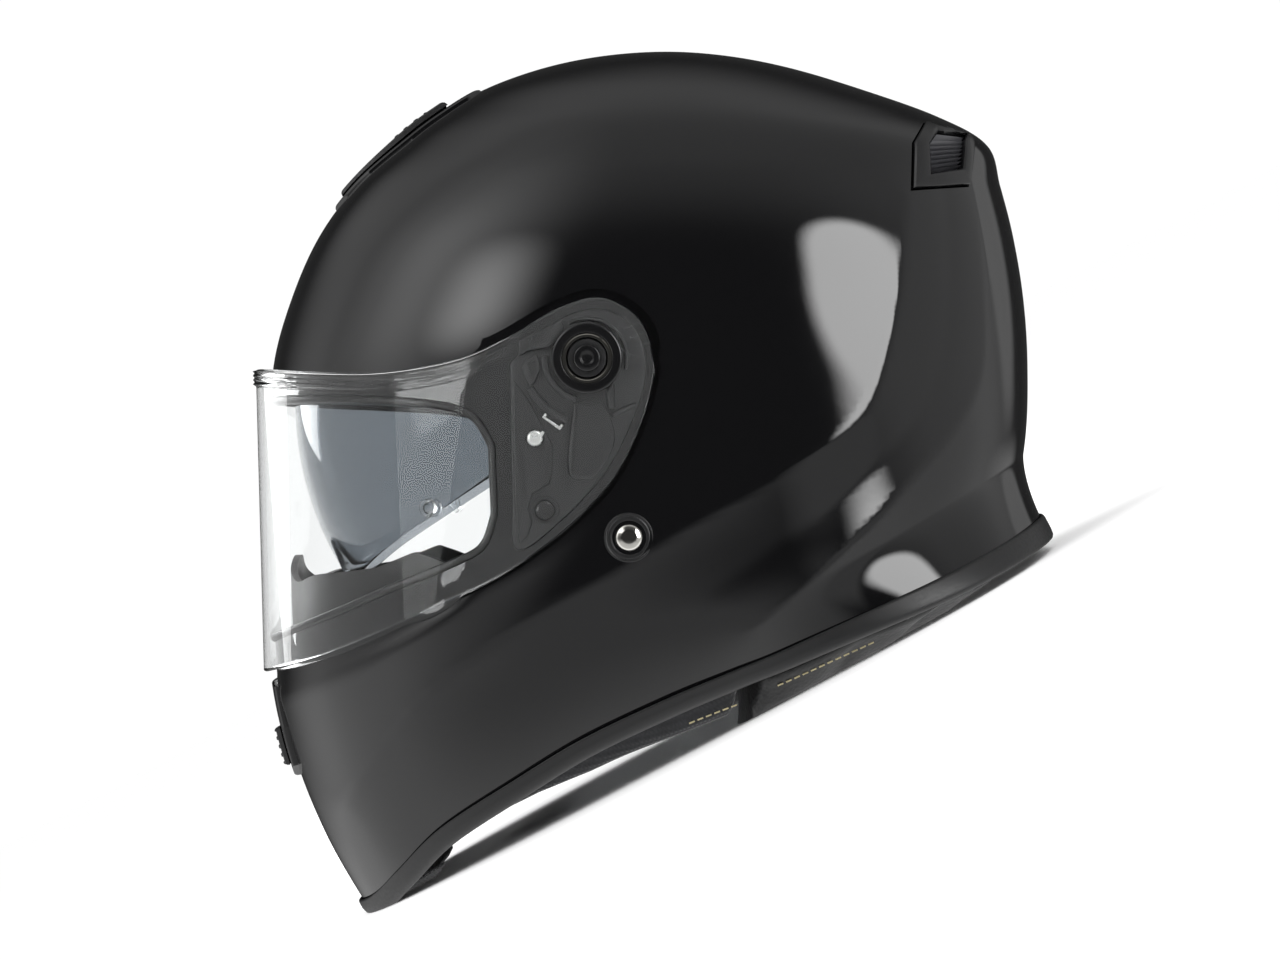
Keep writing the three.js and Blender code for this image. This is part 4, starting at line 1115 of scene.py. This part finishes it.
def crown_height(x, up):
    mouth = ease((9 - np.abs(x)) / 1.2) * ease((up - 97) / 1.5) * ease((104.5 - up) / 1.5)
    return 1.35 - 2.4 * mouth


def crown_slide_height(x, up):
    ribbed = ease(up - 84) * ease(96.5 - up) * ease(9 - np.abs(x))
    return 3.2 + ease((up - 70) / 22) + ribs_on(up, 3.0, 0.4) * ribbed


crown_vent = tile("crown_intake", 90, 110, (107.6, 60.6),
                  lambda up: np.interp(up, [60, 66, 88, 104, 108], [9, 18, 25, 22, 14]), crown_height)
finish(crown_vent, lacquer, replaces=["crown_vent_housing"])
crown_slide = tile("crown_slide", 56, 110, (100.6, 65.6),
                   lambda up: np.interp(up, [50, 88, 101], [10.6, 14.8, 13.2]), crown_slide_height, 1.4, 2.0)
finish(crown_slide, moulded, "crown_slider", ["crown_vent_slider"])

# %% [markdown]
# ## Rear exhausts
# Each exhaust is a five-cornered bezel, flush with the crease of the shell, round a window of
# slanted louvres. Both lie on the skin, so they are grids placed from the side.

# %% Exhausts at the rear
REAR_GRILLE = [[-133.4, 87.5], [-129.5, 82], [-129.7, 71], [-142, 74], [-144, 86.8]]
BEZEL = [(0.0, -3.2), (0.0, 1.4), (0.1, 2.1), (0.3, 2.35), (0.75, 2.35), (0.93, 2.0), (1.0, 1.2),
         (1.0, -3.2)]


def along_polygon(corners, share):
    corners = np.vstack([corners, corners[:1]])
    s = share * (len(corners) - 1)
    return np.stack([np.interp(s, np.arange(len(corners)), corners[:, k]) for k in (0, 1)], axis=-1)


def bezel_place(u, v):
    i = np.rint(v * (len(BEZEL) - 1)).astype(int)
    out, proud = np.array(BEZEL)[i].T
    window = along_polygon(grown(REAR_GRILLE, 0.3), u)
    rim = along_polygon(grown(REAR_VENT, -0.1), u)
    spot = window * (1 - out)[:, None] + rim * out[:, None]
    return placed(side_skin(spot[:, 0], spot[:, 1], -proud)[0])


bezel = wrap("exhaust_bezel_left", 150, len(BEZEL) - 1, bezel_place, 30)
finish_pair(bezel, satin, replaces="rear_vent_bezel")

# %% Louvres
LOUVRES, PER_LOUVRE = 8, 8


def grille_place(u, v):
    front = np.stack([np.interp(v, [0, 0.75, 1], [-129.7, -129.5, -133.2]),
                      np.interp(v, [0, 0.75, 1], [71, 82, 87.3])], axis=-1)
    rear = np.stack([np.interp(v, [0, 1], [-142, -144]), np.interp(v, [0, 1], [74, 86.8])], axis=-1)
    spot = front + (rear - front) * u[:, None]
    blade = (v * LOUVRES) % 1
    blade = np.where(v > 0.999, 0, blade)
    return placed(side_skin(spot[:, 0], spot[:, 1], 2.6 - 3.4 * blade)[0])


grille = wrap("exhaust_grille_left", 24, LOUVRES * PER_LOUVRE, grille_place, 25)
# The louvres wear the black nylon painted lighter grey, as painted light.
finish_pair(grille, louvre_nylon_painted_lighter, replaces="rear_vent_grille")
print("vents done")

# %% [markdown]
# ## Breath deflector
# A thin rubber wall over the mouth that keeps breath off the visor, dipped over the nose.

# %% Breath deflector
DEFLECTOR_TOP = [[52, -78], [60, -75], [68, -72.4], [84, -78.6], [100, -80.5], [112, -81.5], [130, -82]]
DEFLECTOR_LOW = [[52, -78.6], [60, -80], [74, -86], [97, -96], [110, -101.5], [130, -108]]
DEFLECTOR = np.array(rounded([(7, 0), (7, 1), (9.5, 1), (9.5, 0)], 0.8, 3) + [(7, 0.0)])


def deflector_place(u, v):
    turn = (2 * u - 1) * 1.2
    k = np.rint(v * (len(DEFLECTOR) - 1)).astype(int)
    inset, share = DEFLECTOR[k].T
    ahead = np.full_like(turn, 110.0)
    for _ in range(8):
        top = np.interp(ahead, *np.array(DEFLECTOR_TOP).T)
        foot = np.interp(ahead, *np.array(DEFLECTOR_LOW).T)
        up = top * (1 - share) + foot * share
        ahead = section(row_at(up), turn)[..., 1]
    nose = 7 * np.exp(-(turn / 0.13) ** 2) - 3.0 * np.exp(-((np.abs(turn) - 0.34) / 0.12) ** 2)
    dent = 1.5 * np.exp(-(turn / 0.1) ** 2)
    return placed(skin(row_at(up + nose * (1 - share)), turn, inset + dent * (1 - share))[0])


deflector = wrap("breath_guard", 200, len(DEFLECTOR) - 1, deflector_place, 40)
finish(deflector, rubber, replaces=["breath_deflector"])

# %% [markdown]
# ## Padding
# The pads are foam covered with knitted cloth, with pebbled leatherette where the neck rubs. Each
# is a closed section carried round the lower edge and rounded off at its ends. The neck roll is
# also puffed between its seams, and the crown pad is quilted. A cream thread shows where the cheek
# pads meet the neck roll.


# %% Helpers for pads
LOOP_STEPS = 5  # points of a pad's smooth loop for each point of its section


def pad(name, section, first, last, columns, end, puff=0.0, lobes=6):
    """A pad over shares first to last of the way round. section(t) gives its loop at a share t."""
    count = len(rounded_loop(section(0.0)))

    def place(u, v):
        k = np.rint(v * count).astype(int) % count
        spots = np.empty((len(u), 2))
        middle = np.empty((len(u), 2))
        for share in np.unique(u):
            loop = rounded_loop(section(share))
            here = u == share
            spots[here] = loop[k[here]]
            middle[here] = loop.mean(axis=0)
        close = np.minimum(u, 1 - u)
        size = np.sqrt(np.clip(1 - (1 - np.clip(close / end, 0, 1)) ** 2, 0, 1))
        lobe = 1 + puff * (np.abs(np.sin(np.pi * u * lobes)) - 0.6)
        spots = middle + (spots - middle) * (size * lobe)[:, None]
        turn = turn_at(first, last, u)
        return on_table(skirt_point(turn, spots[:, 0], spots[:, 1]))

    return wrap(name, columns, count, place, 60)


def turn_at(first, last, share):
    """The turn at a share of the way between two fortieths of the way round."""
    return 2 * np.pi * (first + (last - first) * share) / 40


def rounded_loop(points, steps=LOOP_STEPS):
    """A closed loop through points, as a smooth curve that is drawn a little tighter."""
    points = np.array(points, float)
    padded = np.vstack([points[-1:], points, points[:2]])
    t = np.linspace(0, len(points), len(points) * steps, endpoint=False)
    i = t.astype(int)
    f = (t - i)[:, None]
    a, b, c, d = (padded[i + k] for k in range(4))
    smooth_curve = b + 0.5 * f * (c - a + f * (2 * a - 5 * b + 4 * c - d + f * (3 * (b - c) + d - a)))
    return 0.75 * smooth_curve + 0.25 * (b * (1 - f) + c * f)


def soften(obj):
    """Relaxes a pad's surface as stuffing does."""
    apply(obj, "SMOOTH", factor=0.5, iterations=2)
    return smooth(obj, 60)


STITCH_PITCH, STITCH_LENGTH, THREAD_RADIUS = 3.4, 2.3, 0.00032


def stitches(name, path):
    """Short thread stitches along a path of points in metres."""
    steps = np.linalg.norm(np.diff(path, axis=0), axis=1)
    reach = np.concatenate([[0], np.cumsum(steps)]) * 1000
    made = []
    for start in np.arange(STITCH_PITCH, reach[-1] - STITCH_PITCH, STITCH_PITCH):
        a, b = (np.array([np.interp(at, reach, path[:, k]) for k in range(3)])
                for at in (start, start + STITCH_LENGTH))
        bpy.ops.mesh.primitive_cylinder_add(vertices=6, radius=THREAD_RADIUS, location=(a + b) / 2,
                                            depth=float(np.linalg.norm(b - a)))
        stitch = bpy.context.object
        stitch.rotation_euler = Vector(b - a).to_track_quat("Z", "Y").to_euler()
        made.append(stitch)
    obj = joined(made)
    only(obj)
    bpy.ops.object.transform_apply(location=True, rotation=True, scale=True)
    obj.name = obj.data.name = name
    return smooth(obj, 60)


# %% Cheek pads
CHEEK_DROP = [8, 8.4, 10.8, 15, 17.6, 19]  # how far it hangs under the edge, front to rear
CHEEK = (6.8, 11.86)


def cheek_section(t):
    low = np.interp(t, np.linspace(0, 1, len(CHEEK_DROP)), CHEEK_DROP)
    return [(10, -4), (9, -1 - low / 2), (13, 1 - low), (34, -low), (50, 3 - low), (54, 20), (53, 50),
            (44, 70), (36.4, 71), (35.8, 60), (35.8, 30), (35.8, -4)]


cheek = pad("cheek_cushion_left", cheek_section, *CHEEK, 96, 0.05)
soften(cheek)
left, right = finish_pair(cheek, knit, replaces="cheek_pad")


def seam_on(section, share, turn, step):
    """A point just outside a pad's loop, at a number of section points along it."""
    loops = [rounded_loop(section(t))[step] for t in share]
    spots = np.array(loops) + [-0.5, -0.3]
    return skirt_point(turn, spots[:, 0], spots[:, 1])


span = np.linspace(0.8, 0.99, 20)
seam = seam_on(cheek_section, span, turn_at(*CHEEK, span), 7)
cheek_thread = stitches("cheek_stitching_left", seam)
finish_pair(cheek_thread, thread)
print("cheek stitches", len(cheek_thread.data.vertices) // 12)

# %% Neck roll
NECK_SECTION = [(8.5, -7), (9, -14), (13, -26), (24, -33), (37, -33), (45, -16), (47, 4), (44, 15),
                (38, 19), (35.2, 15), (35.2, -7)]
NECK = (12.0, 28.0)
neck = pad("neck_cushion", lambda t: NECK_SECTION, *NECK, 220, 0.012, puff=0.05, lobes=9)
soften(neck)
finish(neck, leatherette, replaces=["neck_roll"])
span = np.linspace(0.015, 0.13, 30)
seam = seam_on(lambda t: NECK_SECTION, span, turn_at(*NECK, span), 4)
neck_thread = stitches("neck_stitching_left", seam)
finish_pair(neck_thread, thread)
print("neck stitches", len(neck_thread.data.vertices) // 12)

# %% Crown pad
CROWN_EDGE = np.array([[-175, -25], [-60, -28], [14, -22], [50, 6], [96, 14]])  # ahead, up
CROWN_ROWS = 46
CROWN_INSIDE, CROWN_OUTSIDE = 43.2, 35.0


def crown_place(u, v):
    turn = 2 * np.pi * u
    low, high = np.zeros_like(turn), np.full_like(turn, 12.0)
    for _ in range(24):
        middle = (low + high) / 2
        p = section(middle, turn)
        above_edge = p[..., 2] > np.interp(p[..., 1], *CROWN_EDGE.T) + 2
        low, high = np.where(above_edge, middle, low), np.where(above_edge, high, middle)
    i = np.rint(v * (2 * CROWN_ROWS + 1))
    inner = i <= CROWN_ROWS
    share = np.where(inner, i / CROWN_ROWS, (2 * CROWN_ROWS + 1 - i) / CROWN_ROWS)
    quilt = 1.6 * np.abs(np.sin(4 * turn + 0.4)) ** 0.5 * ease(share / 0.25)
    edge = 4 * ease((share - 0.88) / 0.12)
    inset = np.where(inner, CROWN_INSIDE + quilt - edge, CROWN_OUTSIDE)
    return placed(skin(np.maximum(low * share, 0.001), turn, inset)[0])


crown = wrap("crown_cushion", 200, 2 * CROWN_ROWS + 1, crown_place, 60)
finish(crown, knit, replaces=["crown_pad"])

# %% [markdown]
# ## Chin curtain
# A strip of cloth that closes the gap under the chin. It is one sheet with two faces a
# millimetre apart, sewn to the edge trim.

# %% Chin curtain
# Knitted cloth, sewn to the trim at the chin and stretched back to a bound edge.
CURTAIN = rounded([(8, 3), (8.6, -1), (14, -4.5), (27, -5)], 3, 4)
CURTAIN_WALL = 1.0


def curtain_place(u, v):
    count = 2 * len(CURTAIN)
    i = np.rint(v * count).astype(int) % count
    path = np.array(CURTAIN + [(inset + 0.2, over + CURTAIN_WALL) for inset, over in CURTAIN[::-1]])
    turn = turn_at(-4, 4, u)
    sag = 0.8 * np.sin(np.pi * u * 7) ** 2 * np.clip((path[i, 0] - 12) / 14, 0, 1)
    return on_table(skirt_point(turn, path[i, 0], path[i, 1] - sag * 0.3))


curtain = wrap("chin_curtain_cloth", 90, 2 * len(CURTAIN), curtain_place, 60)
edit(curtain, lambda: bpy.ops.mesh.fill_holes(sides=0), outwards)
finish(curtain, knit, replaces=["chin_curtain"])


def path_length(points):
    return float(np.linalg.norm(np.diff(points, axis=0), axis=1).sum())


span = turn_at(-3.9, 3.9, np.linspace(0, 1, 60))
edges = [path_length(skirt_point(span, *CURTAIN[k])) for k in (0, -1)]
depth = path_length(skirt_point(np.zeros(len(CURTAIN)), *np.array(CURTAIN).T))
print("chin curtain", [round(v, 3) for v in edges], "by", round(depth, 4))

# %% [markdown]
# ## Strap and buckle
# Woven webbing comes down from both rivets and meets under the chin in a ratchet buckle: a
# toothed tongue that slides into a case with a release tab below.

# %% Straps
# x, ahead and up of the left strap's middle line, from its anchor down to the buckle
STRAP = [[112.8, -14, -77], [106, -9, -98], [90, 6, -116], [66, 24, -134], [40, 36, -148],
         [16, 39, -151.5]]
RIGHT_END = [-28, 39.5, -152.5]
STRAP_WIDE, STRAP_THICK = 22, 1.8


def strap(name, points):
    """Webbing along a smooth line through the points."""
    spine = curve(points, 119)
    forward = np.gradient(spine, axis=0)
    face = np.stack([-forward[:, 2], np.zeros(len(spine)), forward[:, 0]], axis=1)
    face /= np.linalg.norm(face, axis=1, keepdims=True)
    loop = np.array(rounded([(-1, 0.5), (-1, 1), (1, 1), (1, -1), (-1, -1), (-1, 0.5)], 0.6, 2))

    def place(u, v):
        i = np.rint(u * (len(spine) - 1)).astype(int)
        k = closed(loop, v)
        side, out = loop[k, 0] * STRAP_WIDE / 2, loop[k, 1] * STRAP_THICK / 2
        end = np.where((u < 0.001) | (u > 0.999), 0.0, 1.0)
        p = spine[i] + face[i] * (out * end)[:, None]
        p[:, 1] += side * np.where(end > 0, 1, 0.98)
        return placed(p)

    return wrap(name, len(spine) - 1, len(loop), place, 50)


left_strap = strap("chin_strap_left", STRAP)
finish(left_strap, webbing, replaces=["strap_left"])
right_points = [[-x, ahead, up] for x, ahead, up in STRAP[:-1]] + [RIGHT_END]
right_strap = strap("chin_strap_right", right_points)
finish(right_strap, webbing, replaces=["strap_right"])

# %% Buckle
BUCKLE_AHEAD, BUCKLE_UP = 40, -152.5


def block(name, x0, x1, half, low, high, bevel=0.8, steps=3):
    """A block across the buckle: half its width, and its lowest and highest from the buckle's middle."""
    rear, front = BUCKLE_AHEAD - half, BUCKLE_AHEAD + half
    under, over = BUCKLE_UP + low, BUCKLE_UP + high
    return prism(name, [(rear, under), (front, under), (front, over), (rear, over)], x0, x1, bevel, steps)


body = block("buckle_case", -13, 15.5, 13, -4, 3.6, 1.2)
cut(body, block("throat", -14, 10, 8.6, -1.6, 1.6, 0))
smooth(body, 30)
finish(body, moulded, replaces=["buckle_body"])
tongue = block("buckle_toothed_tongue", -27, 9, 8, -1.2, 1.2, 0.3, 2)
for k in range(7):
    cut(tongue, block("gap", -9 + 2.2 * k, -7.9 + 2.2 * k, 7, 0.5, 3, 0))
smooth(tongue, 30)
finish(tongue, zinc, replaces=["buckle_tongue"])
tab = block("buckle_release_tab", -11, 13, 10, -7, -4.4, 0.9)
for k in range(4):
    cut(tab, block("grip", -9 + 2.4 * k, -7.8 + 2.4 * k, 8, -8, -6.5, 0))
smooth(tab, 30)
finish(tab, satin, "buckle_lever", ["buckle_lever"])

# %% [markdown]
# ## Slide and hidden fittings
# The sun visor is worked by a knob that slides in a rail on the right lower edge. The knob and
# rail are cut with plain boxes. What can't be seen still gets its real finish.

# %% Sun-visor slide
RAIL = [(-24.4, -90.4), (-24.4, -99.6), (-57.6, -99.6), (-57.6, -90.4)]
WAY = [(-27.6, -92.3), (-27.6, -97.7), (-54.6, -97.7), (-54.6, -92.3)]
rail = prism("slide_rail", RAIL, -120, -117.2, 0.4)
cut(rail, prism("way", WAY, -130, -110, bevel=0))
smooth(rail, 30)
finish(rail, moulded, replaces=["sun_slide_rail"])
knob = prism("slide_knob", [(-29, -97.1), (-29, -92.9), (-39, -92.9), (-39, -97.1)], -125.4, -114.4, 0.7, 3)
for k in range(4):
    ahead = -30.6 - 2.1 * k
    groove = [(ahead, -99), (ahead, -91), (ahead - 0.9, -91), (ahead - 0.9, -99)]
    cut(knob, prism("groove", groove, -127, -124.8, bevel=0))
foot = prism("foot", [(-27, -99), (-27, -91), (-42, -91), (-42, -99)], -116.6, -112.4, 0.4)
knob = joined([knob, foot])
knob.name = "slide_knob"
smooth(knob, 30)
finish(knob, satin, "sun_slide", ["sun_slide_knob"])


# %% Hidden pieces
# The foam, the cable and the fittings behind the pads keep their frame mesh under a real finish.
HIDDEN = {"eps_liner": beads, "eps_chin": beads, "sun_cable": moulded}
for side in ("left", "right"):
    HIDDEN[f"sun_carrier_{side}"] = moulded
    HIDDEN[f"strap_anchor_{side}"] = zinc
for name, material in HIDDEN.items():
    NODES[name].data.materials.clear()
    NODES[name].data.materials.append(material)
print("all pieces done")

# %% [markdown]
# ## Studio
# Black lacquer shows nothing of its own: its whole look is the room that it mirrors. So the
# world has two sides. To the eye it is a plain white sweep. To a mirrored ray it is a dim room
# with dark screens at both sides, and soft panels glow ahead of and behind the near side, which
# make the highlights on the forehead and behind the hinge. Lamps that aren't mirrored do the
# plain lighting.

# %% Helpers for the world
world = bpy.data.worlds.new("studio")
bpy.context.scene.world = world
world.use_nodes = True
background = world.node_tree.nodes["Background"]
bpy.context.scene.view_settings.view_transform = "Standard"


def mapped(value, start, stop, low, high):
    """A smooth ramp of a value."""
    node = add(world, "ShaderNodeMapRange", {"Value": value}, interpolation_type="SMOOTHSTEP")
    numbers = {"From Min": start, "From Max": stop, "To Min": low, "To Max": high}
    for socket, number in numbers.items():
        node.inputs[socket].default_value = number
    return node.outputs["Result"]


def math_node(kind, a, b=None):
    links = {0: a} if b is None else {0: a, 1: b}
    return add(world, "ShaderNodeMath", links, operation=kind).outputs[0]


def along(axis):
    """How far a direction points along an axis."""
    node = add(world, "ShaderNodeVectorMath", {0: looking}, operation="DOT_PRODUCT")
    node.inputs[1].default_value = axis
    return node.outputs["Value"]


looking = add(world, "ShaderNodeTexCoord").outputs["Generated"]
to_side = math_node("ABSOLUTE", along((1, 0, 0)))
to_front, to_crown = along((0, -COS, SIN)), along((0, SIN, COS))
here = add(world, "ShaderNodeCombineXYZ", {"X": to_side, "Y": to_front, "Z": to_crown}).outputs["Vector"]


def soft_panel(centre, squash, outer, inner, glow):
    """A glowing panel in a direction (side, front, crown), its edge soft from outer to inner."""
    offset = add(world, "ShaderNodeVectorMath", {0: here}, operation="SUBTRACT")
    offset.inputs[1].default_value = centre
    scaled = add(world, "ShaderNodeVectorMath", {0: offset.outputs["Vector"]}, operation="MULTIPLY")
    scaled.inputs[1].default_value = squash
    away = add(world, "ShaderNodeVectorMath", {0: scaled.outputs["Vector"]}, operation="LENGTH")
    return mapped(away.outputs["Value"], outer, inner, 0, glow)


# %% The room that the lacquer mirrors
screens = mapped(to_side, 0.3, 0.88, 0.8, 0.04)
overhead = mapped(to_crown, -0.1, 0.95, 0.85, 0.6)
room = math_node("MULTIPLY", screens, overhead)
near_side = mapped(along((1, 0, 0)), -0.3, 0.3, 0.03, 1.0)
above_floor = mapped(to_crown, -0.08, 0.02, 0.0, 1.0)
shown = math_node("MULTIPLY", near_side, above_floor)
PANELS = (
    # centre, squash, outer, inner, glow: forehead, its wide halo, behind the hinge
    ((0.66, 0.58, 0.48), (1, 1, 1.3), 0.36, 0.0, 3.4),
    ((0.2, 0.78, 0.6), (0.8, 1, 0.9), 0.75, 0.0, 1.5),
    ((0.66, -0.63, 0.3), (1.4, 1, 0.58), 0.27, 0.18, 8.5),
)
for panel in PANELS:
    room = math_node("ADD", room, math_node("MULTIPLY", soft_panel(*panel), shown))
# Below the horizon the lacquer mirrors a dim studio floor, nearly black close to the camera and
# lighter behind the helmet.
room = math_node("ADD", room, mapped(to_crown, -0.08, -0.42, 0.0, 0.55))
rearwards, downwards = mapped(to_front, -0.4, -0.62, 0.0, 1.0), mapped(to_crown, 0.0, -0.12, 0.0, 0.6)
room = math_node("MAXIMUM", room, math_node("MULTIPLY", rearwards, downwards))
PLAIN_WHITE = 1.02
# A ray that went through the visor must see the plain white room and not the mirrored one.
ray = add(world, "ShaderNodeLightPath")
mirrored = math_node("SUBTRACT", ray.outputs["Is Glossy Ray"], ray.outputs["Is Transmission Ray"])
glow = add(world, "ShaderNodeMix", {"Factor": mirrored, "B": room}, data_type="FLOAT")
glow.inputs["A"].default_value = PLAIN_WHITE
world.node_tree.links.new(glow.outputs["Result"], background.inputs["Strength"])
background.inputs["Color"].default_value = (1, 1, 1, 1)


# %% Lamps and floor
LAMP_REACH = 1.7


def softbox(name, watts, size, aim_from):
    """A lamp that only lights: the panels above are what the lacquer mirrors."""
    data = bpy.data.lights.new(name, "AREA")
    data.shape, data.size, data.size_y, data.energy = "RECTANGLE", *size, watts
    lamp = bpy.data.objects.new(name, data)
    bpy.context.collection.objects.link(lamp)
    middle = Vector((0, 0, 0.14))
    lamp.location = middle + Vector(aim_from).normalized() * LAMP_REACH
    lamp.rotation_euler = (middle - lamp.location).to_track_quat("-Z", "Y").to_euler()
    lamp.visible_glossy = False


for side in (1, -1):
    softbox("front_box", 12, (0.9, 0.8), (0.9 * side, -0.7, 0.6))
    softbox("rear_box", 8, (0.6, 0.9), (0.9 * side, 0.8, 0.5))
bpy.ops.mesh.primitive_plane_add(size=40, location=(0, 0, 0))
floor = bpy.context.object
floor.name = "floor"
floor.visible_glossy = False  # the room above already draws the floor that is mirrored
pale, shader = surface("pale_studio_floor", "#fdfdfd", 1.0, Specular_IOR_Level=0.0)
floor.data.materials.append(pale)
